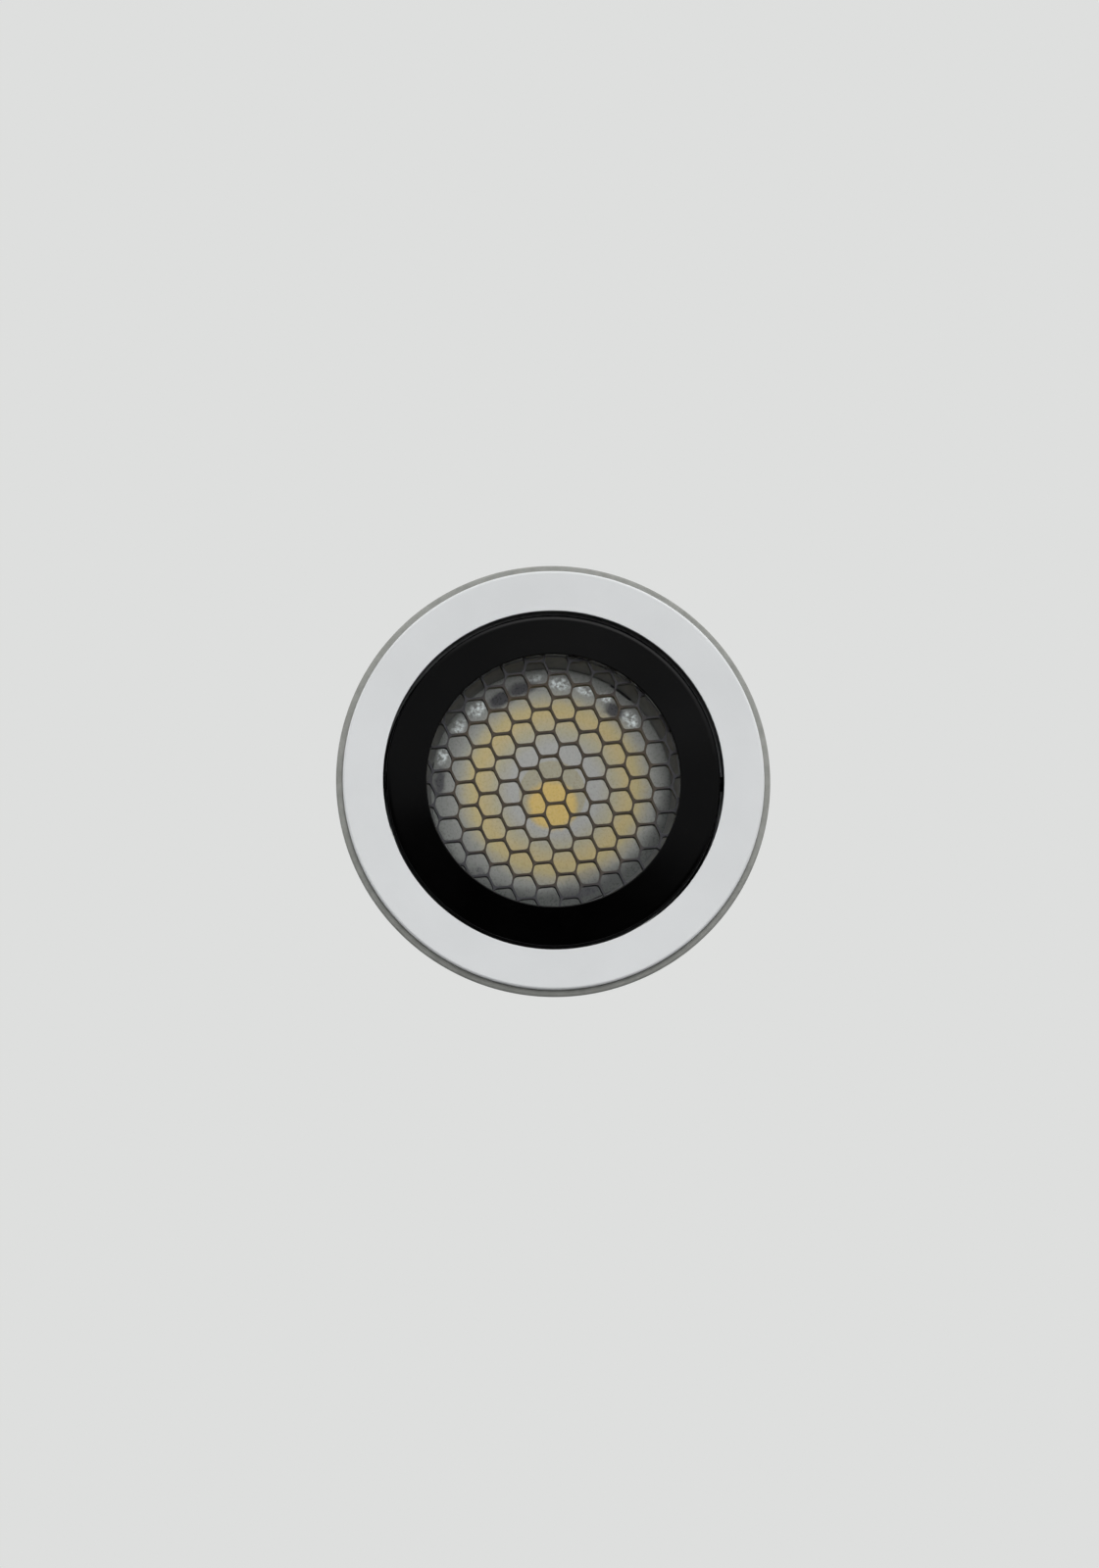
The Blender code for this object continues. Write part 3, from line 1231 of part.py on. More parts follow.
def spring_points(side):
    """The spring's wire: the leg on the collar, the coils round the pin and the leg on the arm."""
    lean = arm_frame()[1]
    axis = Vector((CLIP_PIN_OFFSET, CLIP_PIN_DEPTH, 0))
    half = SPRING_TURNS * SPRING_PITCH / 2
    fixed_angle = HALF_TURN
    moving_angle = lean
    sweep = FULL_TURN * SPRING_TURNS - (fixed_angle - moving_angle)
    coils = []
    count = SPRING_TURNS * SPRING_STEPS
    for i in range(count + 1):
        angle = fixed_angle + sweep * i / count
        height = -half + 2 * half * i / count
        around = Vector((math.cos(angle), math.sin(angle), 0)) * SPRING_RADIUS
        coils.append(axis + around + UP * height)
    lip_offset = math.sqrt(lip_radius() ** 2 - coils[0].z ** 2)
    leg_offset = lip_offset - SEAT_GAP - SPRING_WIRE_RADIUS
    fixed_end = Vector((leg_offset, coils[0].y - SPRING_FIXED_LEG, coils[0].z))
    fixed_knee = coils[0] + (fixed_end - coils[0]) * SPRING_KNEE_SHARE
    along = Vector((math.sin(lean), -math.cos(lean), 0))
    outward = Vector((math.cos(lean), math.sin(lean), 0))
    over = KNUCKLE_RADIUS + SEAT_GAP + SPRING_WIRE_RADIUS
    on_arm = axis + outward * over + UP * half
    moving_knee = on_arm + along * (SPRING_MOVING_LEG - 2 * SPRING_WIRE_RADIUS)
    moving_end = on_arm + along * SPRING_MOVING_LEG
    points = [fixed_end, fixed_knee, *coils, moving_knee, moving_end]
    return [Vector((side * p.x, p.y, p.z)) for p in points]


def least_gap(points):
    """Least clear distance between neighbouring coils of the spring, measured on its points."""
    coils = points[2:-2]
    gaps = []
    for i, first in enumerate(coils):
        for second in coils[i + SPRING_STEPS * 3 // 4 :]:
            gaps.append((first - second).length)
    return min(gaps) - 2 * SPRING_WIRE_RADIUS


def make_spring(side, label):
    """The torsion spring of a clip."""
    points = spring_points(side)
    print(f"clip_spring_{label}: least gap between coils {least_gap(points) * 1000:.3f} mm")
    spring = tube(f"spring_{label}", points, SPRING_WIRE_RADIUS)
    return finished(spring, f"clip_spring_{label}", "spring_steel")


def make_clips():
    """Both spring clips, each with its arm and sleeve carried by the axis of its pin."""
    for side, label in ((1, "right"), (-1, "left")):
        place = Vector((side * CLIP_PIN_OFFSET, CLIP_PIN_DEPTH, 0))
        axis = joint_axis(f"clip_axis_{label}", place)
        make_clip_pin(side, label)
        make_spring(side, label)
        make_arm(side, label, axis)
        make_sleeve(side, label, axis)


def make_light():
    """The whole light, from the wall inwards."""
    make_gasket()
    make_trim()
    make_pivots()
    tilt = joint_axis("tilt_axis", (0, PIVOT_DEPTH, 0))
    make_tilting_ring(tilt)
    make_louvre(tilt)
    make_baffle(tilt)
    make_lens(tilt)
    make_lens_holder(tilt)
    make_led(tilt)
    make_retainer(tilt)
    make_heat_sink(tilt)
    make_wiring(tilt)
    make_cap(tilt)
    make_grommet(tilt)
    make_clips()


make_light()
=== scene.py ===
"""Looks of a recessed wall spotlight: white trim, black tilting ring and honeycomb louvre.

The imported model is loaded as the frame. Each sub-assembly is a class that holds its sizes in
metres, models its visible pieces where the frame's nodes are and gives them their finishes. X
points right, Y into the wall and Z up. A depth is a distance along Y behind the wall's face.
"""

from __future__ import annotations

import logging
import math
from collections.abc import Mapping, Sequence
from dataclasses import dataclass
from enum import Enum
from typing import Any

import bmesh
import bpy
from mathutils import Matrix, Vector


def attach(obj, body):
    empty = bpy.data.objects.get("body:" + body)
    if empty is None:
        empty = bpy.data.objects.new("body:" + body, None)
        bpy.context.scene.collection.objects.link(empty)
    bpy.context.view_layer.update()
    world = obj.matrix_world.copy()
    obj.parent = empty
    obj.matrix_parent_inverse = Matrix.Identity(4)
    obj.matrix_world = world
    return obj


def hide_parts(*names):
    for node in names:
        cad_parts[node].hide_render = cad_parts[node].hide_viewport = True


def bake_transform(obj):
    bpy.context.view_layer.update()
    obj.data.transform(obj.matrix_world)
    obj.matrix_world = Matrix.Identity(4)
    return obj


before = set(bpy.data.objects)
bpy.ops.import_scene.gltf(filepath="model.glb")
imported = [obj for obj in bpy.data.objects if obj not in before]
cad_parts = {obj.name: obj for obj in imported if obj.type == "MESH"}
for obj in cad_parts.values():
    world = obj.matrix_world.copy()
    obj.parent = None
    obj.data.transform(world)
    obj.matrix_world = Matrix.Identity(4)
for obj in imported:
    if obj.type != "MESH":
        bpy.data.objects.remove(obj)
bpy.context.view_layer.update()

LOG = logging.getLogger("wall_spotlight")
MM = 0.001
AXIS_IN = Vector((0, 1, 0))
AXIS_UP = Vector((0, 0, 1))
AXIS_RIGHT = Vector((1, 0, 0))
ORIGIN = Vector((0, 0, 0))
QUARTER_TURN = math.pi / 2
# Points nearer than this are one corner when they are picked, and one vertex when they are merged
SAME_PLACE = 1e-7
MERGE = 1e-6
# A Mix node's sockets for colours, and the middle of a noise's colour
MIX_UNDER, MIX_OVER, MIX_RESULT = 6, 7, 2
NOISE_MIDDLE = (0.5, 0.5, 0.5)
# How far a cutter reaches past what it cuts
PAST = 1.0 * MM
# Places that two sub-assemblies share
PIVOT_DEPTH = 4.4 * MM
CLIP_OFFSET = 34.0 * MM
CLIP_DEPTH = 18.0 * MM
COLLAR_LIP = 33.29 * MM
FLANGE_SCREW_RING = 30.15 * MM
FLANGE_SCREW_ANGLES = (90, 210, 330)
CAP_SCREW_OFFSET = 11.2 * MM

Piece = bpy.types.Object
Node = bpy.types.Node
Socket = bpy.types.NodeSocket
Tree = bpy.types.NodeTree


class Body(Enum):
    """The bodies of the frame that pieces ride on."""

    TRIM = "trim"
    LAMP = "lamp"
    CLIP_RIGHT = "clip_right"
    CLIP_LEFT = "clip_left"


class Side(Enum):
    """The two sides of the light, seen from the front."""

    RIGHT = 1
    LEFT = -1

    @property
    def label(self) -> str:
        """The side's name as it ends the names of nodes."""
        return self.name.lower()

    @property
    def outward(self) -> Vector:
        """The direction away from the light's axis."""
        return AXIS_RIGHT * self.value


# Colours and material nodes


def linear(hex_colour: str) -> tuple[float, float, float, float]:
    """Turns an sRGB hex colour to linear red, green, blue and alpha.

    Args:
        hex_colour: Six hex digits after a hash sign.

    Returns:
        The linear colour with an alpha of one.
    """
    parts = [int(hex_colour[i : i + 2], 16) / 255 for i in (1, 3, 5)]
    plain = [p / 12.92 if p <= 0.04045 else ((p + 0.055) / 1.055) ** 2.4 for p in parts]
    return (plain[0], plain[1], plain[2], 1.0)


def add_node(
    tree: Tree,
    kind: str,
    inputs: Mapping[str | int, Any] | None = None,
    output: str | int = 0,
    **options: Any,
) -> Socket:
    """Adds one node, sets its options and fills or links its sockets.

    Args:
        tree: The node tree that gets the node.
        kind: The node's type without its first word, such as TexNoise.
        inputs: Sockets by name or number, each with a value or another node's output.
        output: The output that is wanted, by name or number.
        **options: Attributes of the node and their values.

    Returns:
        The wanted output.
    """
    node = tree.nodes.new("ShaderNode" + kind)
    for name, value in options.items():
        setattr(node, name, value)
    for socket, value in (inputs or {}).items():
        if isinstance(value, Socket):
            tree.links.new(value, node.inputs[socket])
        else:
            node.inputs[socket].default_value = value
    return node.outputs[output]


def fill_ramp(node: Node, stops: Sequence[tuple[float, str]]) -> None:
    """Sets the stops of a colour ramp.

    Args:
        node: The colour ramp.
        stops: Places from 0 to 1 and their hex colours, in rising order.
    """
    elements = node.color_ramp.elements
    while len(elements) > 1:
        elements.remove(elements[-1])
    elements[0].position, elements[0].color = stops[0][0], linear(stops[0][1])
    for place, colour in stops[1:]:
        elements.new(place).color = linear(colour)


def from_axis(tree: Tree, place: Socket) -> Socket:
    """Adds the distance from the light's axis.

    Args:
        tree: The material's node tree.
        place: The output with Object coordinates.

    Returns:
        The output with the distance in metres.
    """
    flat = add_node(tree, "VectorMath", {0: place, 1: (1.0, 0.0, 1.0)}, operation="MULTIPLY")
    return add_node(tree, "VectorMath", {0: flat}, "Value", operation="LENGTH")


@dataclass(frozen=True)
class Finish:
    """A surface with a slow change of tone and a fine grain, both in real sizes.

    The slot names a material slot; it is not used. The tone changes between the colour
    and the shade. Lengths are in millimetres. A Principled shader's constants are set on its
    own sockets.
    """

    name: str
    slot: str
    colour: str
    shade: str
    roughness: float
    tone_size: float = 9.0
    grain_size: float = 0.4
    grain_height: float = 0.004
    roughness_spread: float = 0.06
    metallic: float = 0.0
    specular: float = 0.5
    coat: float = 0.0
    coat_roughness: float = 0.2
    stretch: tuple[float, float, float] = (1.0, 1.0, 1.0)
    tone_detail: float = 3.0
    grain_detail: float = 4.0
    grain_roughness: float = 0.6
    # Nearly all of a noise's values lie between these two
    noise_low: float = 0.3
    noise_high: float = 0.7

    def material(self) -> bpy.types.Material:
        """Gives the finish's material, made the first time that it is asked for.

        Returns:
            The material, shared by all pieces of this finish.
        """
        known = bpy.data.materials.get(self.name)
        if known is not None:
            return known
        made = bpy.data.materials.new(self.name)
        made.use_nodes = True
        made.diffuse_color = linear(self.colour)
        shader = made.node_tree.nodes["Principled BSDF"]
        shader.inputs["Metallic"].default_value = self.metallic
        if not self.metallic:
            shader.inputs["Specular IOR Level"].default_value = self.specular
        shader.inputs["Coat Weight"].default_value = self.coat
        shader.inputs["Coat Roughness"].default_value = self.coat_roughness
        self.dress(shader)
        return made

    def dress(self, shader: Node) -> None:
        """Adds the nodes for tone, roughness and grain.

        Args:
            shader: The material's Principled shader.
        """
        tree = shader.id_data
        place = add_node(tree, "TexCoord", output="Object")
        scale = 1 / (self.tone_size * MM)
        noise = {"Vector": place, "Scale": scale, "Detail": self.tone_detail}
        tone = add_node(tree, "TexNoise", noise)
        ramp = add_node(tree, "ValToRGB", {"Fac": tone})
        fill_ramp(ramp.node, [(self.noise_low, self.shade), (self.noise_high, self.colour)])
        tree.links.new(ramp, shader.inputs["Base Color"])
        self.add_grain(shader, place)

    def add_grain(self, shader: Node, place: Socket) -> None:
        """Adds the fine grain, as a bump and as a change of roughness.

        Args:
            shader: The material's Principled shader.
            place: The output with Object coordinates.
        """
        tree = shader.id_data
        drawn = add_node(tree, "Mapping", {"Vector": place, "Scale": self.stretch})
        noise = {
            "Vector": drawn,
            "Scale": 1 / (self.grain_size * MM),
            "Detail": self.grain_detail,
            "Roughness": self.grain_roughness,
        }
        grain = add_node(tree, "TexNoise", noise)
        span = {
            "Value": grain,
            "From Min": self.noise_low,
            "From Max": self.noise_high,
            "To Min": self.roughness - self.roughness_spread,
            "To Max": self.roughness + self.roughness_spread,
        }
        tree.links.new(add_node(tree, "MapRange", span), shader.inputs["Roughness"])
        height = self.grain_height * MM
        bump = add_node(tree, "Bump", {"Height": grain, "Distance": height, "Strength": 1.0})
        tree.links.new(bump, shader.inputs["Normal"])

    def overlay(self, shader: Node, share: Socket, colour: str) -> None:
        """Lays a colour over the coat.

        Args:
            shader: The material's Principled shader.
            share: How much of the colour shows.
            colour: The colour, as sRGB hex.
        """
        tree = shader.id_data
        coat = shader.inputs["Base Color"].links[0].from_socket
        layers = {"Factor": share, MIX_UNDER: coat, MIX_OVER: linear(colour)}
        mixed = add_node(tree, "Mix", layers, MIX_RESULT, data_type="RGBA")
        tree.links.new(mixed, shader.inputs["Base Color"])


@dataclass(frozen=True)
class ShadedBoreFinish(Finish):
    """A coat with painted shade on the wall inside a bore, dark from a depth inwards.

    Both sizes are in metres.
    """

    bore_shade_colour: str = "#141414"
    bore_radius: float = 34.15 * MM
    bore_shade_start: float = -1.0 * MM

    def dress(self, shader: Node) -> None:
        """Adds the coat, and the painted shade over it on the wall inside the bore.

        Args:
            shader: The material's Principled shader.
        """
        super().dress(shader)
        tree = shader.id_data
        place = add_node(tree, "TexCoord", output="Object")
        depth = add_node(tree, "SeparateXYZ", {"Vector": place}, "Y")
        reach = from_axis(tree, place)
        # Painted shade: the bore's wall is dark from a depth inwards
        inside = add_node(tree, "Math", {0: reach, 1: self.bore_radius}, operation="LESS_THAN")
        behind = add_node(tree, "Math", {0: depth, 1: self.bore_shade_start}, operation="GREATER_THAN")
        share = add_node(tree, "Math", {0: inside, 1: behind}, operation="MULTIPLY")
        self.overlay(shader, share, self.bore_shade_colour)


@dataclass(frozen=True)
class RimmedFinish(Finish):
    """A coat with the lit lens's warm light painted into it, giving way to a cooler tone towards
    the rim.

    The radii are in metres.
    """

    rim_colour: str = "#37373a"
    rim_start: float = 19.5 * MM
    rim_end: float = 23.5 * MM

    def dress(self, shader: Node) -> None:
        """Adds the coat, and its cooler tone towards the rim.

        Args:
            shader: The material's Principled shader.
        """
        super().dress(shader)
        tree = shader.id_data
        reach = from_axis(tree, add_node(tree, "TexCoord", output="Object"))
        span = {"Value": reach, "From Min": self.rim_start, "From Max": self.rim_end}
        share = add_node(tree, "MapRange", span, interpolation_type="SMOOTHSTEP")
        # The painted warm light gives way to the foil's cooler tone towards the rim
        self.overlay(shader, share, self.rim_colour)


@dataclass(frozen=True)
class LensMark:
    """A soft mark on the lens, seen through its face near the rim.

    The place is an angle in degrees and a radius. Length runs round the rim and width across
    it, both in millimetres. The mark ends and is whole at two shares of its half lengths.
    """

    angle: float
    radius: float
    length: float
    width: float
    strength: float
    end: float = 1.25
    whole: float = 0.45

    def share(self, tree: Tree, place: Socket) -> Socket:
        """Adds how much of the mark shows.

        Args:
            tree: The material's node tree.
            place: Object coordinates in millimetres, flattened to the face.

        Returns:
            The output from zero to the mark's strength.
        """
        spin = {"Vector": place, "Axis": (0.0, 1.0, 0.0), "Angle": math.radians(self.angle)}
        turned = add_node(tree, "VectorRotate", spin, rotation_type="AXIS_ANGLE")
        middle = (self.radius, 0.0, 0.0)
        moved = add_node(tree, "VectorMath", {0: turned, 1: middle}, operation="SUBTRACT")
        half = (self.width / 2, 1.0, self.length / 2)
        sized = add_node(tree, "VectorMath", {0: moved, 1: half}, operation="DIVIDE")
        reach = add_node(tree, "VectorMath", {0: sized}, "Value", operation="LENGTH")
        span = {"From Min": self.end, "From Max": self.whole, "To Max": self.strength}
        return add_node(
            tree, "MapRange", {"Value": reach, **span}, interpolation_type="SMOOTHSTEP"
        )


@dataclass(frozen=True)
class LensPatch:
    """A round part of the lens with a soft edge.

    The centre is right and up from the axis. The part ends at one radius and is whole at the
    other. Lengths are in millimetres.
    """

    colour: str
    centre: tuple[float, float]
    end: float
    whole: float

    def share(self, tree: Tree, place: Socket) -> Socket:
        """Adds how much of the part's colour shows.

        Args:
            tree: The material's node tree.
            place: Object coordinates in millimetres, flattened to the face.

        Returns:
            The output from zero to one.
        """
        ends = {0: place, 1: (self.centre[0], 0.0, self.centre[1])}
        reach = add_node(tree, "VectorMath", ends, "Value", operation="DISTANCE")
        span = {"Value": reach, "From Min": self.end, "From Max": self.whole}
        return add_node(tree, "MapRange", span, interpolation_type="SMOOTHSTEP")


@dataclass(frozen=True)
class LensGrain:
    """Moulded grains on the lens, whose noise is brought from two values to two levels.

    The size is in millimetres. The detail is how many finer grains lie over the first.
    """

    size: float
    detail: float
    values: tuple[float, float]
    levels: tuple[float, float]

    def level(self, tree: Tree, place: Socket) -> Socket:
        """Adds the grains.

        Args:
            tree: The material's node tree.
            place: Object coordinates in millimetres, flattened to the face.

        Returns:
            The output with the level.
        """
        noise = {"Vector": place, "Scale": 1 / self.size, "Detail": self.detail}
        value = add_node(tree, "TexNoise", noise)
        names = ("From Min", "From Max", "To Min", "To Max")
        ends = dict(zip(names, (*self.values, *self.levels)))
        return add_node(tree, "MapRange", {"Value": value, **ends})


@dataclass(frozen=True)
class LensFinish(Finish):
    """Clear acrylic lens over the LED: painted bands for what its facets gather from behind.

    The middle is a painted image of the phosphor in the lens's well, the broad ring a painted
    reflection of it in the bowl, and the rest the painted grey of the white retainer, with painted
    shade towards the lower rim. Lengths are in millimetres.
    """

    # Places from the centre, 0, to the rim, 1, and their colours, all painted reflections
    bands: tuple[tuple[float, str], ...] = ()
    band_centre: tuple[float, float] = (0.75, -0.15)
    rim_radius: float = 24.6
    well: LensPatch = LensPatch("#9f9b86", (0.35, -1.15), 6.95, 6.55)
    glow: LensPatch = LensPatch("#ceb267", (0.35, -3.4), 5.8, 3.9)
    # The lens is lighter towards the side that faces the room's brighter part
    lit_side: tuple[float, float, float] = (-0.3, 0.0, 0.95)
    lit_levels: tuple[float, float] = (0.72, 1.18)
    # Painted shade: the lens goes dark towards its lower rim, as all that lies outside a circle
    cup: LensPatch = LensPatch("#474a48", (-1.5, 4.0), 23.6, 26.8)
    shadow_colour: str = "#3c3c40"
    shadows: tuple[LensMark, ...] = ()
    # The facets' grains break up the glints
    glint_colour: str = "#f2fbfb"
    glints: tuple[LensMark, ...] = ()
    sparkle: LensGrain = LensGrain(0.869565, 3.0, (0.42, 0.62), (0.0, 1.0))
    speckle: LensGrain = LensGrain(0.5, 2.0, (0.25, 0.75), (0.93, 1.07))
    # The facets draw the edges of the parts out of true, in waves of this size and reach
    wave_size: float = 1.818182
    wave_reach: float = 1.6
    wave_detail: float = 2.0

    def strongest(self, tree: Tree, place: Socket, marks: Sequence[LensMark]) -> Socket:
        """Adds the shares of several marks, of which the strongest counts.

        Args:
            tree: The material's node tree.
            place: Object coordinates in millimetres, flattened to the face.
            marks: The marks.

        Returns:
            The output from zero to one.
        """
        total: Any = 0.0
        for mark in marks:
            shares = {0: mark.share(tree, place), 1: total}
            total = add_node(tree, "Math", shares, operation="MAXIMUM")
        return total

    def dress(self, shader: Node) -> None:
        """Adds the bands, the middle, the marks near the rim and the moulded grain.

        Args:
            shader: The material's Principled shader.
        """
        tree = shader.id_data
        place = add_node(tree, "TexCoord", output="Object")
        to_mm = (1 / MM, 0.0, 1 / MM)
        flat = add_node(tree, "VectorMath", {0: place, 1: to_mm}, operation="MULTIPLY")
        noise = {"Vector": flat, "Scale": 1 / self.wave_size, "Detail": self.wave_detail}
        wave = {0: add_node(tree, "TexNoise", noise, "Color"), 1: NOISE_MIDDLE}
        wave = {
            0: add_node(tree, "VectorMath", wave, operation="SUBTRACT"),
            1: (self.wave_reach, 0.0, self.wave_reach),
            2: flat,
        }
        stirred = add_node(tree, "VectorMath", wave, operation="MULTIPLY_ADD")

        ends = {0: stirred, 1: (self.band_centre[0], 0.0, self.band_centre[1])}
        reach = add_node(tree, "VectorMath", ends, "Value", operation="DISTANCE")
        band = add_node(tree, "Math", {0: reach, 1: self.rim_radius}, operation="DIVIDE")
        painted = add_node(tree, "ValToRGB", {"Fac": band})
        fill_ramp(painted.node, self.bands)

        side = {0: flat, 1: self.lit_side}
        height = add_node(tree, "VectorMath", side, "Value", operation="DOT_PRODUCT")
        span = {"Value": height, "From Min": -self.rim_radius, "From Max": self.rim_radius}
        levels = {"To Min": self.lit_levels[0], "To Max": self.lit_levels[1]}
        lit = add_node(tree, "MapRange", {**span, **levels})
        glint = {0: self.strongest(tree, flat, self.glints), 1: self.sparkle.level(tree, flat)}
        glint = add_node(tree, "Math", glint, operation="MULTIPLY")
        shadow = self.strongest(tree, stirred, self.shadows)
        # In order: the painted well and glow, painted light from the lit side, painted shade at the
        # lower rim, painted dark marks, painted glints and the grain
        for share, layer, blend in (
            (self.well.share(tree, flat), linear(self.well.colour), "MIX"),
            (self.glow.share(tree, stirred), linear(self.glow.colour), "MIX"),
            (1.0, lit, "MULTIPLY"),
            (self.cup.share(tree, stirred), linear(self.cup.colour), "MIX"),
            (shadow, linear(self.shadow_colour), "MIX"),
            (glint, linear(self.glint_colour), "MIX"),
            (1.0, self.speckle.level(tree, flat), "MULTIPLY"),
        ):
            layers = {"Factor": share, MIX_UNDER: painted, MIX_OVER: layer}
            painted = add_node(
                tree, "Mix", layers, MIX_RESULT, data_type="RGBA", blend_type=blend
            )
        tree.links.new(painted, shader.inputs["Base Color"])
        self.add_grain(shader, place)


# Powder-coated die cast: an even white with the faint ripple that the powder leaves, and painted
# shade on the wall inside its bore
WHITE_POWDER_COAT = ShadedBoreFinish(
    "white_powder_coat", "white_paint", "#cbcdce", "#c7c9ca", 0.42, 14.0, 0.55, 0.006, 0.04
)
# Satin black lacquer: very deep, with a sheen only where it faces a light
SATIN_BLACK_LACQUER = Finish(
    "satin_black_lacquer", "black_paint", "#030303", "#010101", 0.15, 12.0, 0.3, 0.0008, 0.02
)
# Black-coated aluminium foil: thin matt walls, painted brownish with the warm light that the lit
# lens throws on them
BLACK_COATED_FOIL = RimmedFinish(
    "black_coated_foil", "black_louvre", "#453d34", "#39322b", 0.55, 3.0, 0.2, 0.004, 0.08,
    specular=0.3,
)
# Moulded polycarbonate: dark grey and matt, so that the baffle doesn't glare; its grey is painted
# lighter, standing in for the light that the lit lens throws on it
DARK_POLYCARBONATE = Finish(
    "dark_matt_polycarbonate", "dark_plastic", "#77797c", "#66686b", 0.6, 2.6, 0.25, 0.004, 0.06,
    specular=0.3,
)
# Closed-cell foam rubber: mid grey with open pores on its cut edge; where it shows past the trim,
# its grey also stands in for the shade line between trim and wall
GREY_CELL_FOAM = Finish(
    "grey_closed_cell_foam", "grey_foam", "#8e8f8b", "#81827e", 0.92, 2.0, 0.35, 0.03, 0.04,
    specular=0.2,
)
# Die-cast aluminium: pale grey metal, faintly grainy and cloudy from the mould
CAST_ALUMINIUM = Finish(
    "die_cast_aluminium", "cast_aluminium", "#b9bbbd", "#a3a6a8", 0.5, 6.0, 0.35, 0.008, 0.07,
    metallic=1.0,
)
# Zinc-plated steel: bright, slightly blue, with fine turning marks
ZINC_PLATED_STEEL = Finish(
    "zinc_plated_steel", "zinc_steel", "#c6c9cc", "#b3b6ba", 0.3, 1.5, 0.2, 0.0015, 0.05,
    metallic=1.0,
)
# Steel of the pivot pins, painted near black: a painted shade, so that they don't show in the
# running gap
SHADE_DARKENED_STEEL = Finish(
    "shade_darkened_steel", "zinc_steel", "#2a2b2d", "#202123", 0.4, 1.5, 0.2, 0.0015, 0.05,
    metallic=1.0,
)
# Rolled spring steel: grey with the lines of rolling along the strip
SPRING_STEEL = Finish(
    "rolled_spring_steel", "spring_steel", "#8f9093", "#7b7c80", 0.32, 5.0, 0.25, 0.002, 0.06,
    metallic=1.0, stretch=(1.0, 1.0, 0.08),
)
# Moulded rubber: soft black that scatters light broadly
BLACK_RUBBER = Finish(
    "moulded_black_rubber", "black_rubber", "#232323", "#1b1b1b", 0.78, 4.0, 0.3, 0.006, 0.06,
    specular=0.3,
)
# Glass-filled nylon: black with the fine spark texture of its mould
BLACK_NYLON = Finish(
    "glass_filled_black_nylon", "black_plastic", "#222324", "#1a1b1c", 0.52, 5.0, 0.28, 0.009, 0.07
)
# Moulded polycarbonate of the LED's retainer and the terminal block: a warm, even white
WHITE_POLYCARBONATE = Finish(
    "white_polycarbonate", "white_plastic", "#e9e9e4", "#dfdfd9", 0.4, 5.0, 0.3, 0.003, 0.05
)
# Alumina of the LED's board, pressed and fired: even white with a soft sheen
ALUMINA_BOARD = Finish(
    "white_alumina_board", "board_white", "#e0e0dc", "#d6d6d1", 0.35, 4.0, 0.2, 0.002, 0.05
)
# Phosphor in silicone, poured over the LED's chips: a deep yellow disc with a matt skin
PHOSPHOR_RESIN = Finish(
    "yellow_phosphor_resin", "yellow_phosphor", "#dcb64a", "#cfa63c", 0.5, 1.2, 0.15, 0.004, 0.06
)
# Filled silicone sheet that carries heat to the sink: dull bluish grey
SILICONE_PAD = Finish(
    "grey_silicone_pad", "grey_silicone", "#8a8e94", "#7d8187", 0.8, 3.0, 0.3, 0.006, 0.05
)
# Extruded silicone on the LED's leads: smooth, plainly coloured, with a soft sheen
RED_WIRE = Finish(
    "red_silicone_wire", "red_insulation", "#a5201c", "#931a17", 0.45, 2.0, 0.2, 0.002, 0.05
)
# The same, in black
BLACK_WIRE = Finish(
    "black_silicone_wire", "black_insulation", "#1c1c1c", "#151515", 0.45, 2.0, 0.2, 0.002, 0.05
)
# Matt floor paint: a pale, even grey that passes into the backdrop
PALE_FLOOR_PAINT = Finish(
    "pale_studio_floor", "", "#bbbcbc", "#b8b9b9", 0.8, 300.0, 4.0, 0.01, specular=0.1
)
# Moulded clear acrylic: grey and yellow bands painted for what its facets gather, under a faintly
# textured face
MOULDED_LENS = LensFinish(
    "clear_acrylic_lens",
    "clear_acrylic",
    "#8d908c",
    "#7c7f7b",
    0.3,
    grain_size=0.5,
    grain_height=0.02,
    roughness_spread=0.08,
    coat=0.2,
    bands=(
        (0.00, "#a4a4a0"),
        (0.36, "#a5a6a3"),
        (0.43, "#a5a395"),
        (0.49, "#aaa58a"),
        (0.55, "#b4a882"),
        (0.62, "#bbaa77"),
        (0.68, "#b5a87a"),
        (0.74, "#a49e87"),
        (0.79, "#919289"),
        (0.83, "#868884"),
        (0.90, "#7a7c79"),
        (0.96, "#777a77"),
        (1.00, "#6a6d6a"),
    ),
    # Painted images of the holder's legs seen through the lens, and at 292 degrees a broad painted
    # shade of the lower right
    shadows=(
        LensMark(51, 20.4, 5.0, 3.0, 0.95),
        LensMark(106, 21.0, 6.6, 3.3, 0.95),
        LensMark(119, 20.6, 6.4, 3.5, 0.97),
        LensMark(177, 22.4, 6.0, 2.6, 0.9),
        LensMark(290, 22.0, 5.6, 2.0, 0.8),
        LensMark(348, 21.9, 3.4, 1.8, 0.5),
        LensMark(231, 22.1, 3.4, 1.8, 0.5),
        LensMark(292, 20.6, 16.0, 5.4, 0.28),
    ),
    glints=(
        LensMark(85, 21.3, 4.6, 2.6, 1.0),
        LensMark(71, 21.2, 4.2, 2.4, 0.9),
        LensMark(59, 21.6, 2.6, 2.2, 0.9),
        LensMark(41, 21.4, 4.0, 3.0, 1.0),
        LensMark(133, 21.7, 4.6, 2.8, 1.0),
        LensMark(146, 22.3, 4.2, 2.4, 0.8),
        LensMark(163, 22.7, 4.0, 2.2, 0.8),
        LensMark(98, 22.6, 3.6, 1.6, 0.5),
    ),
)


# Modelling by operators


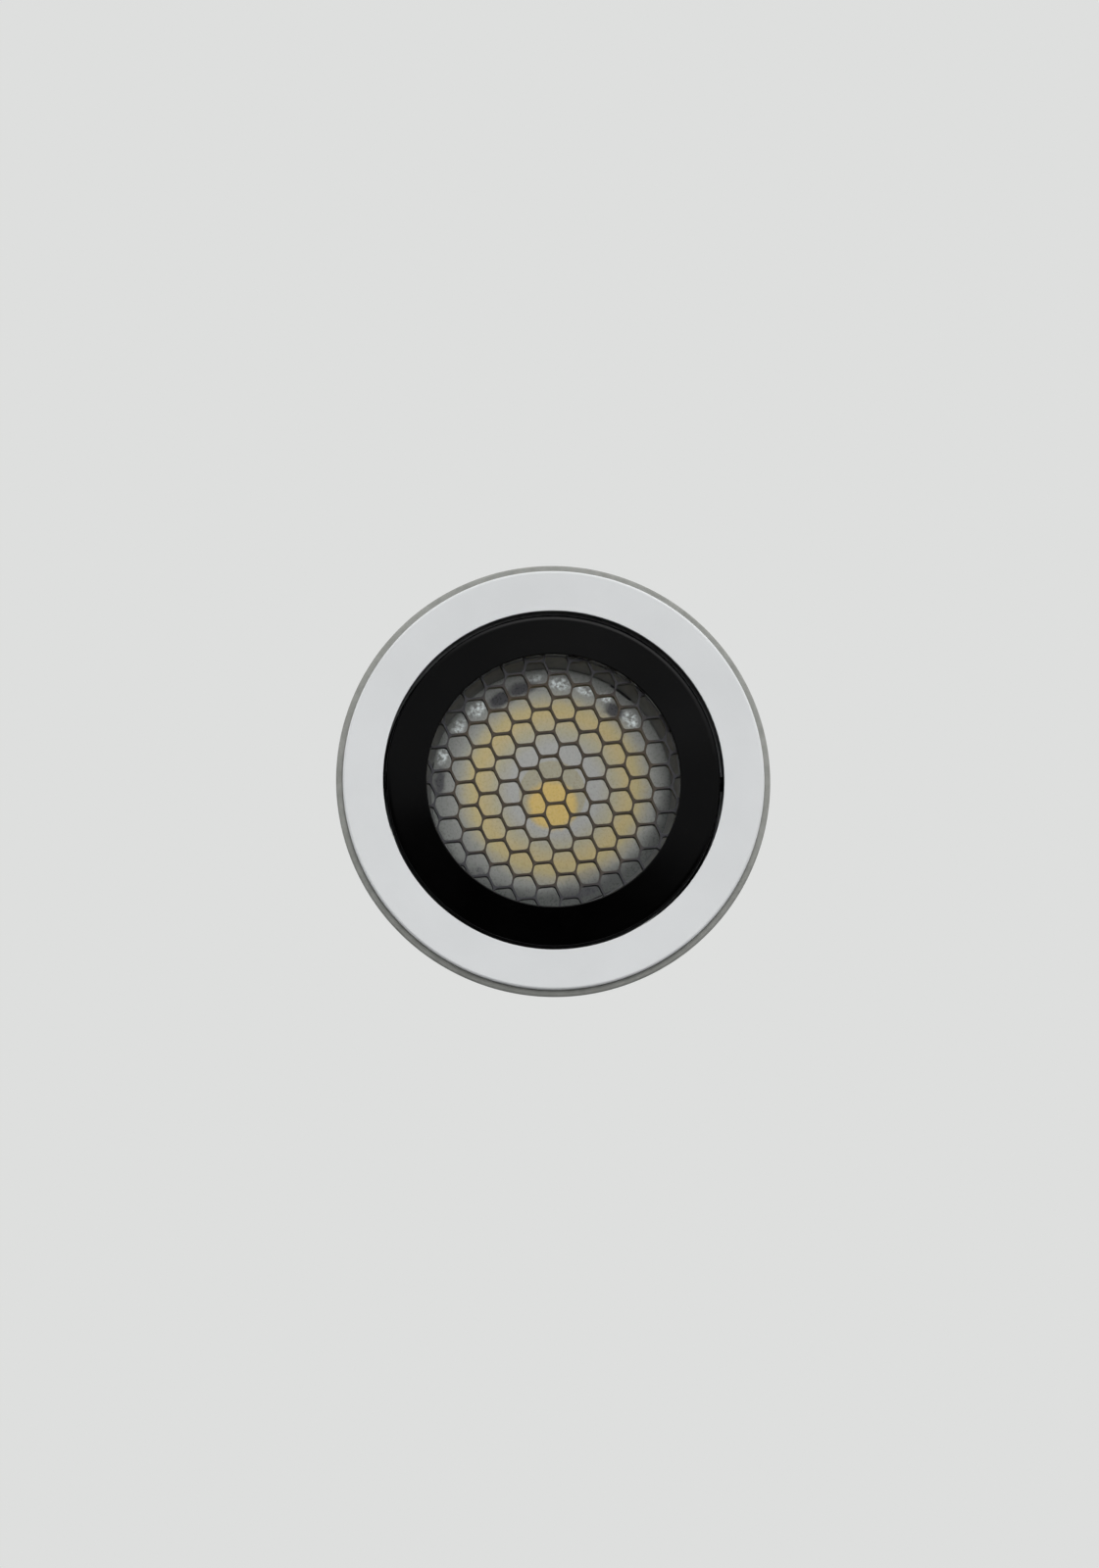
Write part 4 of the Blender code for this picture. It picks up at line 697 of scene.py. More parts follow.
def deselect() -> None:
    """Deselects every object, the frame's own among them."""
    if bpy.context.object is not None and bpy.context.object.mode != "OBJECT":
        bpy.ops.object.mode_set(mode="OBJECT")
    bpy.ops.object.select_all(action="DESELECT")


def pick(*pieces: Piece) -> None:
    """Selects some objects alone, the last one active.

    Args:
        *pieces: The objects.
    """
    deselect()
    for piece in pieces:
        piece.select_set(True)
    bpy.context.view_layer.objects.active = pieces[-1]


class Editing:
    """Edit mode on one piece, left again at the end of a with block."""

    def __init__(self, piece: Piece) -> None:
        """Keeps the piece."""
        self.piece = piece

    def __enter__(self) -> Editing:
        """Enters edit mode with nothing selected.

        Returns:
            This object, whose methods select and merge.
        """
        pick(self.piece)
        bpy.ops.object.mode_set(mode="EDIT")
        bpy.ops.mesh.select_mode(type="VERT")
        bpy.ops.mesh.select_all(action="DESELECT")
        return self

    def __exit__(self, *unused: object) -> None:
        """Goes back to object mode."""
        bpy.ops.object.mode_set(mode="OBJECT")

    def all(self) -> None:
        """Selects the whole mesh."""
        bpy.ops.mesh.select_all(action="SELECT")

    def near(self, places: Sequence[Vector]) -> None:
        """Selects the vertices that lie at one of some places.

        Args:
            places: The places.
        """
        bpy.ops.mesh.select_all(action="DESELECT")
        shape = bmesh.from_edit_mesh(self.piece.data)
        for vertex in shape.verts:
            vertex.select = min((vertex.co - place).length for place in places) < SAME_PLACE
        shape.select_flush_mode()
        bmesh.update_edit_mesh(self.piece.data)

    def merge(self) -> None:
        """Merges the vertices that share a place."""
        self.all()
        bpy.ops.mesh.remove_doubles(threshold=MERGE)

    def turn_out(self) -> None:
        """Turns all faces outwards."""
        self.all()
        bpy.ops.mesh.normals_make_consistent(inside=False)


@dataclass(frozen=True)
class Corner:
    """A corner of an outline: two lengths in its plane, and the radius that rounds it."""

    across: float
    along: float
    rounding: float = 0.0

    @property
    def place(self) -> Vector:
        """Where the corner lies in the XY plane."""
        return Vector((self.across, self.along, 0))


def outline(name: str, corners: Sequence[Corner], steps: int = 5, closed: bool = True) -> Piece:
    """Draws an outline in the XY plane, one point extruded from corner to corner.

    Args:
        name: The new object's name.
        corners: The corners in order.
        steps: Segments in each rounded corner.
        closed: Whether the last corner is joined to the first.

    Returns:
        The outline as a mesh of edges.
    """
    deselect()
    bpy.ops.mesh.primitive_plane_add(size=MM, location=(0, 0, 0))
    drawing = bpy.context.object
    drawing.name = name
    with Editing(drawing) as edit:
        edit.all()
        bpy.ops.mesh.merge(type="CENTER")
        edit.all()
        bpy.ops.transform.translate(value=corners[0].place)
        for before, after in zip(corners, corners[1:]):
            step = (after.across - before.across, after.along - before.along, 0)
            bpy.ops.mesh.extrude_region_move(TRANSFORM_OT_translate={"value": step})
        if closed:
            edit.near([corners[0].place, corners[-1].place])
            bpy.ops.mesh.edge_face_add()
        for rounding in sorted({c.rounding for c in corners if c.rounding > 0}):
            edit.near([c.place for c in corners if c.rounding == rounding])
            bpy.ops.mesh.bevel(
                offset=rounding, offset_type="OFFSET", segments=steps, affect="VERTICES"
            )
    return drawing


def lathe(
    name: str, corners: Sequence[Corner], turns: int = 96, steps: int = 5, closed: bool = True
) -> Piece:
    """Spins a profile of radius and depth about the light's axis.

    Args:
        name: The new object's name.
        corners: The profile's corners, their radius across and their depth along.
        turns: Segments of the full turn.
        steps: Segments in each rounded corner.
        closed: Whether the profile is closed. An open one starts and ends on the axis.

    Returns:
        The closed body.
    """
    body = outline(name, corners, steps, closed)
    with Editing(body) as edit:
        edit.all()
        bpy.ops.mesh.spin(steps=turns, angle=math.tau, center=(0, 0, 0), axis=AXIS_IN)
        edit.merge()
        edit.turn_out()
    return body


def plate(name: str, corners: Sequence[Corner], thickness: float, steps: int = 5) -> Piece:
    """Fills an outline in the XY plane and extrudes it to a plate, equally to both sides.

    Args:
        name: The new object's name.
        corners: The outline's corners.
        thickness: The plate's thickness along Z.
        steps: Segments in each rounded corner.

    Returns:
        The closed plate.
    """
    board = outline(name, corners, steps)
    with Editing(board) as edit:
        edit.all()
        bpy.ops.mesh.edge_face_add()
        bpy.ops.transform.translate(value=(0, 0, -thickness / 2))
        bpy.ops.mesh.extrude_region_move(TRANSFORM_OT_translate={"value": (0, 0, thickness)})
        edit.turn_out()
    return board


def placed(piece: Piece, matrix: Matrix) -> Piece:
    """Moves a piece's mesh to its place and leaves its object at the origin.

    Args:
        piece: The piece.
        matrix: Where it goes. One that mirrors turns the faces out again.

    Returns:
        The same piece.
    """
    pick(piece)
    piece.matrix_world = matrix @ piece.matrix_world
    bpy.ops.object.transform_apply(location=True, rotation=True, scale=True)
    if matrix.determinant() < 0:
        with Editing(piece) as edit:
            edit.turn_out()
    return piece


def rod(
    name: str,
    radius: float,
    base: Vector,
    direction: Vector,
    start: float,
    end: float,
    steps: int = 32,
) -> Piece:
    """Adds a round rod, as a cutter or a boss.

    Args:
        name: The new object's name.
        radius: Its radius.
        base: A point on its axis.
        direction: The way that it runs.
        start: How far from the point it starts.
        end: How far from the point it ends.
        steps: Its sides.

    Returns:
        The rod with its place in its mesh.
    """
    first, last = base + direction * start, base + direction * end
    run = last - first
    deselect()
    bpy.ops.mesh.primitive_cylinder_add(vertices=steps, radius=radius, depth=run.length)
    bar = bpy.context.object
    bar.name = name
    turn = AXIS_UP.rotation_difference(run).to_matrix().to_4x4()
    return placed(bar, Matrix.Translation((first + last) / 2) @ turn)


def block(name: str, size: tuple[float, float, float], centre: Vector) -> Piece:
    """Adds a block of a given size about a centre.

    Args:
        name: The new object's name.
        size: Its three lengths.
        centre: Its middle.

    Returns:
        The block with its place in its mesh.
    """
    deselect()
    bpy.ops.mesh.primitive_cube_add(size=1, location=centre, scale=size)
    cube = bpy.context.object
    cube.name = name
    pick(cube)
    bpy.ops.object.transform_apply(location=True, rotation=True, scale=True)
    return cube


def applied(piece: Piece, name: str, kind: str, **settings: Any) -> Piece:
    """Adds one modifier to a piece and applies it.

    Args:
        piece: The piece.
        name: The modifier's name.
        kind: Its type.
        **settings: Its settings.

    Returns:
        The same piece.
    """
    pick(piece)
    modifier = piece.modifiers.new(name, kind)
    for setting, value in settings.items():
        setattr(modifier, setting, value)
    bpy.ops.object.modifier_apply(modifier=modifier.name)
    return piece


def combined(piece: Piece, operation: str, tools: Sequence[Piece]) -> Piece:
    """Cuts tools from a piece or joins them to it, and removes them.

    Args:
        piece: The piece.
        operation: DIFFERENCE, UNION or INTERSECT.
        tools: The other shapes.

    Returns:
        The same piece.
    """
    for tool in tools:
        applied(piece, tool.name, "BOOLEAN", operation=operation, solver="EXACT", object=tool)
        bpy.data.objects.remove(tool)
    return piece


def softened(piece: Piece, width: float, steps: int = 2, angle: float = 40) -> Piece:
    """Rounds a piece's sharp edges.

    Args:
        piece: The piece.
        width: The width of the rounding.
        steps: Its segments.
        angle: The least angle in degrees between faces that makes an edge sharp.

    Returns:
        The same piece.
    """
    sharp = {"limit_method": "ANGLE", "angle_limit": math.radians(angle)}
    return applied(piece, "soft_edges", "BEVEL", width=width, segments=steps, **sharp)


def clothe(piece: Piece, name: str, finish: Finish, node: str, smooth: float) -> None:
    """Names a modelled piece, shades it, gives it its material and says what it stands for.

    Args:
        piece: The modelled piece.
        name: Its name in the finished model.
        finish: Its finish.
        node: The frame's node that it replaces.
        smooth: The angle in degrees up to which neighbouring faces are shaded as one.
    """
    pick(piece)
    bpy.ops.object.shade_smooth_by_angle(angle=math.radians(smooth))
    piece.name = name
    piece.data.name = name
    piece.data.materials.clear()
    piece.data.materials.append(finish.material())
    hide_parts(node)
    LOG.info("%s stands for %s, %d faces", name, node, len(piece.data.polygons))


def present(
    piece: Piece, name: str, body: Body, finish: Finish, node: str, smooth: float = 32
) -> None:
    """Finishes a piece that rides on one body, its flat faces shaded flat.

    Args:
        piece: The modelled piece.
        name: Its name in the finished model.
        body: The body that it rides on.
        finish: Its finish.
        node: The frame's node that it replaces.
        smooth: The angle in degrees up to which neighbouring faces are shaded as one.
    """
    clothe(piece, name, finish, node, smooth)
    applied(piece, "flat_faces", "WEIGHTED_NORMAL", keep_sharp=True)
    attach(piece, body.value)


def dress_node(node: str, finish: Finish) -> None:
    """Gives a node of the frame that stays as it is its finish.

    Args:
        node: The node's name.
        finish: Its finish.
    """
    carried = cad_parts[node]
    for slot in carried.material_slots:
        slot.material = finish.material()
    if not carried.material_slots:
        carried.data.materials.append(finish.material())
    LOG.info("%s keeps its shape, in %s", node, finish.name)


def on_face(radius: float, angle: float) -> Vector:
    """The point of the wall's face at a radius and an angle in degrees, seen from the front."""
    turn = math.radians(angle)
    return Vector((radius * math.cos(turn), 0, radius * math.sin(turn)))


@dataclass(frozen=True)
class Fastener:
    """A slotted pan-head screw or pin, modelled once with its head's underside at the origin.

    The slot's span is a share of the head's radius. The roundings are shares of the head's
    height, above and below, and of the shank's radius.
    """

    head_radius: float
    head_height: float
    radius: float
    reach: float
    slot_width: float = 0.6 * MM
    slot_depth: float = 0.5 * MM
    slot_span: float = 3.0
    crown: float = 0.45
    burr: float = 0.1125
    chamfer: float = 1 / 3
    sides: int = 40
    steps: int = 4

    def build(self, name: str, place: Vector, direction: Vector, turn: float) -> Piece:
        """Models the fastener and puts it in its hole.

        Args:
            name: The new object's name.
            place: The middle of the head's underside.
            direction: The way that the shank points.
            turn: The slot's turn in degrees.

        Returns:
            The fastener.
        """
        shape = lathe(
            name,
            [
                Corner(0, -self.head_height),
                Corner(self.head_radius, -self.head_height, self.head_height * self.crown),
                Corner(self.head_radius, 0, self.head_height * self.burr),
                Corner(self.radius, 0),
                Corner(self.radius, self.reach, self.radius * self.chamfer),
                Corner(0, self.reach),
            ],
            self.sides,
            self.steps,
            closed=False,
        )
        size = (self.head_radius * self.slot_span, 2 * self.slot_depth, self.slot_width)
        slot = block(name + "_slot", size, AXIS_IN * -self.head_height)
        combined(shape, "DIFFERENCE", [slot])
        lean = AXIS_IN.rotation_difference(direction).to_matrix().to_4x4()
        spun = Matrix.Rotation(math.radians(turn), 4, "Y")
        return placed(shape, Matrix.Translation(place) @ lean @ spun)


# Sub-assemblies


@dataclass
class WallTrim:
    """The white cast trim with its collar and clip ears, its gasket and the pivots in it."""

    radius: float = 42.0 * MM
    front: float = -2.4 * MM
    inner_front: float = -2.0 * MM
    back: float = -1.1 * MM
    bore_radius: float = 34.0 * MM
    collar_radius: float = 36.1 * MM
    collar_depth: float = 11.0 * MM
    lip_front: float = 10.2 * MM
    edge_round: float = 0.5 * MM
    bore_round: float = 0.12 * MM
    step_round: float = 0.1 * MM
    collar_round: float = 0.25 * MM
    lip_round: float = 0.2 * MM
    # A real foam gasket that reaches past the trim's edge, so that its grey rim also stands in for
    # the shade line round the trim
    gasket_radius: float = 43.3 * MM
    gasket_inner: float = 36.4 * MM
    gasket_thickness: float = 0.8 * MM
    gasket_round: float = 0.5 * MM
    gasket_back_round: float = 0.2 * MM
    pin: Fastener = Fastener(2.7 * MM, 1.0 * MM, 1.5 * MM, 6.9 * MM)
    pin_place: float = 35.7 * MM
    pin_turn: float = 30.0
    pin_bore: float = 1.6 * MM
    seat_radius: float = 3.0 * MM
    seat_floor: float = 35.4 * MM
    # An ear starts inside the collar's wall and ends in an arc round its clip's pin
    ear_thickness: float = 1.8 * MM
    ear_middle: float = 6.6 * MM
    ear_root: float = 0.6 * MM
    ear_root_half: float = 0.8 * MM
    ear_sunk: float = 1.5 * MM
    ear_neck: float = 2.0 * MM
    ear_inner_round: float = 1.2 * MM
    ear_outer_round: float = 0.6 * MM
    ear_softness: float = 0.2 * MM
    ear_radius: float = 2.6 * MM
    ear_arc_start: float = 160.0
    ear_arc: float = 220.0
    ear_arc_steps: int = 24
    clip_bore: float = 1.1 * MM
    clip_bore_half: float = 9.0 * MM
    turns: int = 256

    def build(self) -> None:
        """Models and dresses all pieces of the trim."""
        self.build_gasket()
        self.build_ring()
        self.build_pivots()

    def build_gasket(self) -> None:
        """Spins the foam gasket, its cut edges a little rounded."""
        gasket = lathe(
            "gasket",
            [
                Corner(self.gasket_inner, -self.gasket_thickness),
                Corner(self.gasket_radius, -self.gasket_thickness, self.gasket_round),
                Corner(self.gasket_radius, 0, self.gasket_back_round),
                Corner(self.gasket_inner, 0),
            ],
            self.turns,
        )
        present(gasket, "gasket_foam", Body.TRIM, GREY_CELL_FOAM, "wall_gasket")

    def ear(self, side: Side, level: int) -> Piece:
        """Models one clip ear.

        Args:
            side: The side of the light.
            level: Above the middle, 1, or below it, -1.

        Returns:
            The ear.
        """
        root = self.bore_radius + self.ear_root
        inner, outer = root - self.ear_root_half, root + self.ear_root_half
        start, neck = self.collar_depth - self.ear_sunk, self.collar_depth + self.ear_neck
        arc = []
        for i in range(self.ear_arc_steps + 1):
            turn = math.radians(self.ear_arc_start + self.ear_arc * i / self.ear_arc_steps)
            across = CLIP_OFFSET + self.ear_radius * math.cos(turn)
            arc.append(Corner(across, CLIP_DEPTH - self.ear_radius * math.sin(turn)))
        corners = [
            Corner(inner, start),
            Corner(inner, neck, self.ear_inner_round),
            *arc,
            Corner(outer, neck, self.ear_outer_round),
            Corner(outer, start),
        ]
        ear = softened(plate("ear", corners, self.ear_thickness), self.ear_softness)
        mirror = Matrix.Scale(side.value, 4, AXIS_RIGHT)
        return placed(ear, Matrix.Translation((0, 0, level * self.ear_middle)) @ mirror)

    def build_ring(self) -> None:
        """Spins the trim, joins its ears and drills it for the pins and the pivots."""
        trim = lathe(
            "trim",
            [
                Corner(self.bore_radius, self.inner_front, self.bore_round),
                Corner(self.radius, self.front, self.edge_round),
                Corner(self.radius, self.back, self.step_round),
                Corner(self.collar_radius, self.back, self.step_round),
                Corner(self.collar_radius, self.collar_depth, self.collar_round),
                Corner(COLLAR_LIP, self.collar_depth, self.lip_round),
                Corner(COLLAR_LIP, self.lip_front, self.lip_round),
                Corner(self.bore_radius, self.lip_front),
            ],
            self.turns,
            steps=6,
        )
        pivot = AXIS_IN * PIVOT_DEPTH
        inside, outside = self.bore_radius - PAST, self.collar_radius + PAST
        ears = []
        holes = []
        for side in Side:
            ears += [self.ear(side, 1), self.ear(side, -1)]
            clip = side.outward * CLIP_OFFSET + AXIS_IN * CLIP_DEPTH
            out, half = side.outward, self.clip_bore_half
            holes += [
                rod("clip_bore", self.clip_bore, clip, AXIS_UP, -half, half),
                rod("pivot_bore", self.pin_bore, pivot, out, inside, outside),
                rod("pivot_seat", self.seat_radius, pivot, out, self.seat_floor, outside, steps=48),
            ]
        combined(trim, "UNION", ears)
        combined(trim, "DIFFERENCE", holes)
        present(trim, "trim_casting", Body.TRIM, WHITE_POWDER_COAT, "trim_ring")

    def build_pivots(self) -> None:
        """Puts the pivot pins in and dresses the washers behind them."""
        for side in Side:
            place = AXIS_IN * PIVOT_DEPTH + side.outward * self.pin_place
            pin = self.pin.build("pivot", place, -side.outward, self.pin_turn)
            node = f"pivot_pin_{side.label}"
            # The pins are painted near black, a painted shade where they cross the running gap
            present(pin, f"pivot_{side.label}", Body.TRIM, SHADE_DARKENED_STEEL, node)
            dress_node(f"friction_washer_{side.label}", BLACK_NYLON)


@dataclass
class TiltingRing:
    """The black ring that tilts in the trim, its face falling back from the opening.

    The two slopes are in degrees from the plane of the opening.
    """

    opening_radius: float = 25.3 * MM
    front: float = -1.5 * MM
    slope: float = 6.65
    shoulder_radius: float = 32.45 * MM
    shoulder_slope: float = 12.5
    shoulder_end: float = 33.3 * MM
    lip_back: float = 0.4 * MM
    back: float = 8.2 * MM
    bore_radius: float = 26.6 * MM
    rim_radius: float = 33.5 * MM
    opening_round: float = 0.25 * MM
    shoulder_round: float = 0.15 * MM
    edge_round: float = 0.25 * MM
    back_round: float = 0.3 * MM
    bore_round: float = 0.15 * MM
    lip_round: float = 0.2 * MM
    washer_seat: float = 32.4 * MM
    washer_room: float = 2.9 * MM
    pin_room: float = 1.6 * MM
    pin_end: float = 28.5 * MM
    screw_room: float = 1.1 * MM
    screw_end: float = 4.9 * MM
    rim_steps: int = 14
    turns: int = 256

    def rim_at(self, depth: float) -> float:
        """Radius of the ball-shaped rim at a depth."""
        return math.sqrt(self.rim_radius**2 - (depth - PIVOT_DEPTH) ** 2)

    def build(self) -> None:
        """Spins the ring, then cuts the washers' seats, the pin bores and the screw holes."""
        face = self.shoulder_radius - self.opening_radius
        shoulder = self.front + face * math.tan(math.radians(self.slope))
        bevel = self.shoulder_end - self.shoulder_radius
        edge = shoulder + bevel * math.tan(math.radians(self.shoulder_slope))
        rim = []
        for i in range(1, self.rim_steps):
            depth = edge + (self.back - edge) * i / self.rim_steps
            rim.append(Corner(self.rim_at(depth), depth))
        ring = lathe(
            "ring",
            [
                Corner(self.opening_radius, self.front, self.opening_round),
                Corner(self.shoulder_radius, shoulder, self.shoulder_round),
                Corner(self.shoulder_end, edge, self.edge_round),
                *rim,
                Corner(self.rim_at(self.back), self.back, self.back_round),
                Corner(self.bore_radius, self.back, self.bore_round),
                Corner(self.bore_radius, self.lip_back),
                Corner(self.opening_radius, self.lip_back, self.lip_round),
            ],
            self.turns,
            steps=8,
        )
        pivot = AXIS_IN * PIVOT_DEPTH
        seat, outside = self.washer_seat, self.rim_radius + PAST
        holes = []
        for side in Side:
            out = side.outward
            holes += [
                rod("washer_seat", self.washer_room, pivot, out, seat, outside, steps=40),
                rod("pin_bore", self.pin_room, pivot, out, self.pin_end, outside),
            ]
        for angle in FLANGE_SCREW_ANGLES:
            middle = on_face(FLANGE_SCREW_RING, angle)
            ends = (self.screw_end, self.back + PAST)
            holes.append(rod("screw_hole", self.screw_room, middle, AXIS_IN, *ends, steps=24))
        combined(ring, "DIFFERENCE", holes)
        present(ring, "black_ring", Body.LAMP, SATIN_BLACK_LACQUER, "tilting_ring")


@dataclass
class HoneycombLouvre:
    """The expanded foil honeycomb, whose cells are drawn out of true and rounded.

    Each edge of a cell is a length and an angle in degrees. The offset is that of the middle
    cell from the axis.
    """

    radius: float = 26.3 * MM
    open_radius: float = 25.6 * MM
    front: float = 0.7 * MM
    back: float = 3.5 * MM
    wall: float = 0.37 * MM
    corner_round: float = 0.5 * MM
    edges: tuple[tuple[float, float], ...] = (
        (3.46 * MM, 5.4),
        (2.84 * MM, -63.7),
        (2.25 * MM, -104.1),
    )
    offset: tuple[float, float] = (0.2 * MM, -1.9 * MM)
    copies: int = 21
    smooth: float = 50.0
    turns: int = 192

    def directions(self) -> list[Vector]:
        """The three edges of a cell as flat vectors, right and up.

        Returns:
            The edges in order round the cell, the other three running back along them.
        """
        found = []
        for length, angle in self.edges:
            turn = math.radians(angle)
            found.append(Vector((length * math.cos(turn), length * math.sin(turn))))
        return found

    def cell_corners(self) -> list[Corner]:
        """The corners of the middle cell, drawn in by half a wall.

        Returns:
            The corners in order round the cell.
        """
        edges = self.directions()
        run = [*edges, *[-edge for edge in edges]]
        corner = -(edges[0] + edges[1] + edges[2]) / 2
        sides = []
        for edge in run:
            inward = Vector((edge.y, -edge.x)).normalized() * self.wall / 2
            sides.append((corner + inward, edge))
            corner = corner + edge
        corners = []
        for (a, along_a), (b, along_b) in zip([sides[-1], *sides], sides):
            share = (b - a).cross(along_b) / along_a.cross(along_b)
            point = a + along_a * share
            corners.append(Corner(point.x, point.y, self.corner_round))
        return corners

    def build(self) -> None:
        """Models one cell, repeats it in rows and cuts the cells from a disc."""
        edges = self.directions()
        right = edges[0] - edges[2]
        down = edges[0] + edges[1]
        cells = plate("cells", self.cell_corners(), self.back - self.front + 2 * PAST, steps=3)
        for name, step in (("rows", right), ("columns", down)):
            applied(
                cells,
                name,
                "ARRAY",
                use_relative_offset=False,
                use_constant_offset=True,
                constant_offset_displace=(step.x, step.y, 0),
                count=self.copies,
            )
        shift = (right + down) * ((self.copies - 1) / 2)
        start = Vector((self.offset[0] - shift.x, self.offset[1] - shift.y, 0))
        middle = AXIS_IN * (self.front + self.back) / 2
        facing = Matrix.Rotation(QUARTER_TURN, 4, "X")
        placed(cells, Matrix.Translation(middle) @ facing @ Matrix.Translation(start))
        before, behind = self.front - 2 * PAST, self.back + 2 * PAST
        window = rod("window", self.open_radius, ORIGIN, AXIS_IN, before, behind, self.turns)
        combined(cells, "INTERSECT", [window])
        disc = rod("disc", self.radius, ORIGIN, AXIS_IN, self.front, self.back, self.turns)
        combined(disc, "DIFFERENCE", [cells])
        present(disc, "honeycomb", Body.LAMP, BLACK_COATED_FOIL, "honeycomb_louvre", self.smooth)
        # The real lens gathers light from all of its depth, so the foil throws no shadow on it
        disc.visible_shadow = False


@dataclass
class Optics:
    """Baffle tube, lens and what holds the LED behind it."""

    baffle_front: float = 3.8 * MM
    baffle_back: float = 10.9 * MM
    baffle_radius: float = 26.3 * MM
    baffle_wall: float = 0.9 * MM
    baffle_end: float = 24.2 * MM
    baffle_round: float = 0.15 * MM
    baffle_end_round: float = 0.2 * MM
    lens_front: float = 12.4 * MM
    lens_neck: float = 13.9 * MM
    lens_back: float = 28.2 * MM
    rim_radius: float = 24.6 * MM
    rim_round: float = 0.25 * MM
    neck_radius: float = 23.2 * MM
    neck_round: float = 0.2 * MM
    rear_radius: float = 7.6 * MM
    well_radius: float = 6.0 * MM
    well_depth: float = 6.2 * MM
    well_crown: float = 1.4 * MM
    bowl_steps: int = 20
    crown_steps: int = 6
    turns: int = 192

    def build(self) -> None:
        """Models the baffle and the lens and dresses the nodes behind them."""
        self.build_baffle()
        self.build_lens()
        for node, finish in (
            ("lens_holder", BLACK_NYLON),
            ("led_board", ALUMINA_BOARD),
            ("led_phosphor", PHOSPHOR_RESIN),
            ("led_retainer", WHITE_POLYCARBONATE),
            ("retainer_screw_top", ZINC_PLATED_STEEL),
            ("retainer_screw_bottom", ZINC_PLATED_STEEL),
            ("thermal_pad", SILICONE_PAD),
        ):
            dress_node(node, finish)

    def build_baffle(self) -> None:
        """Spins the baffle, which narrows from the louvre to the lens."""
        inner = self.baffle_back - self.baffle_wall / 2
        baffle = lathe(
            "baffle",
            [
                Corner(self.baffle_radius - self.baffle_wall, self.baffle_front, self.baffle_round),
                Corner(self.baffle_radius, self.baffle_front, self.baffle_round),
                Corner(self.baffle_radius, self.baffle_back, self.baffle_round),
                Corner(self.baffle_end, self.baffle_back),
                Corner(self.baffle_end, inner, self.baffle_end_round),
            ],
            self.turns,
        )
        present(baffle, "baffle", Body.LAMP, DARK_POLYCARBONATE, "baffle_tube")

    def bowl_at(self, depth: float) -> float:
        """Radius of the lens's bowl at a depth, a parabola."""
        share = (self.lens_back - depth) / (self.lens_back - self.lens_neck)
        return math.sqrt(self.rear_radius**2 + share * (self.neck_radius**2 - self.rear_radius**2))

    def build_lens(self) -> None:
        """Spins the lens: flat front, rim, bowl and the well over the LED."""
        corners = [
            Corner(0, self.lens_front),
            Corner(self.rim_radius, self.lens_front, self.rim_round),
            Corner(self.rim_radius, self.lens_neck, self.neck_round),
        ]
        for i in range(self.bowl_steps + 1):
            depth = self.lens_neck + (self.lens_back - self.lens_neck) * i / self.bowl_steps
            corners.append(Corner(self.bowl_at(depth), depth))
        floor = self.lens_back - self.well_depth
        corners += [Corner(self.well_radius, self.lens_back), Corner(self.well_radius, floor)]
        for i in range(1, self.crown_steps + 1):
            share = 1 - i / self.crown_steps
            rise = self.well_crown * (1 - share**2)
            corners.append(Corner(self.well_radius * share, floor + rise))
        lens = lathe("lens", corners, self.turns, closed=False)
        present(lens, "moulded_lens", Body.LAMP, MOULDED_LENS, "lens")


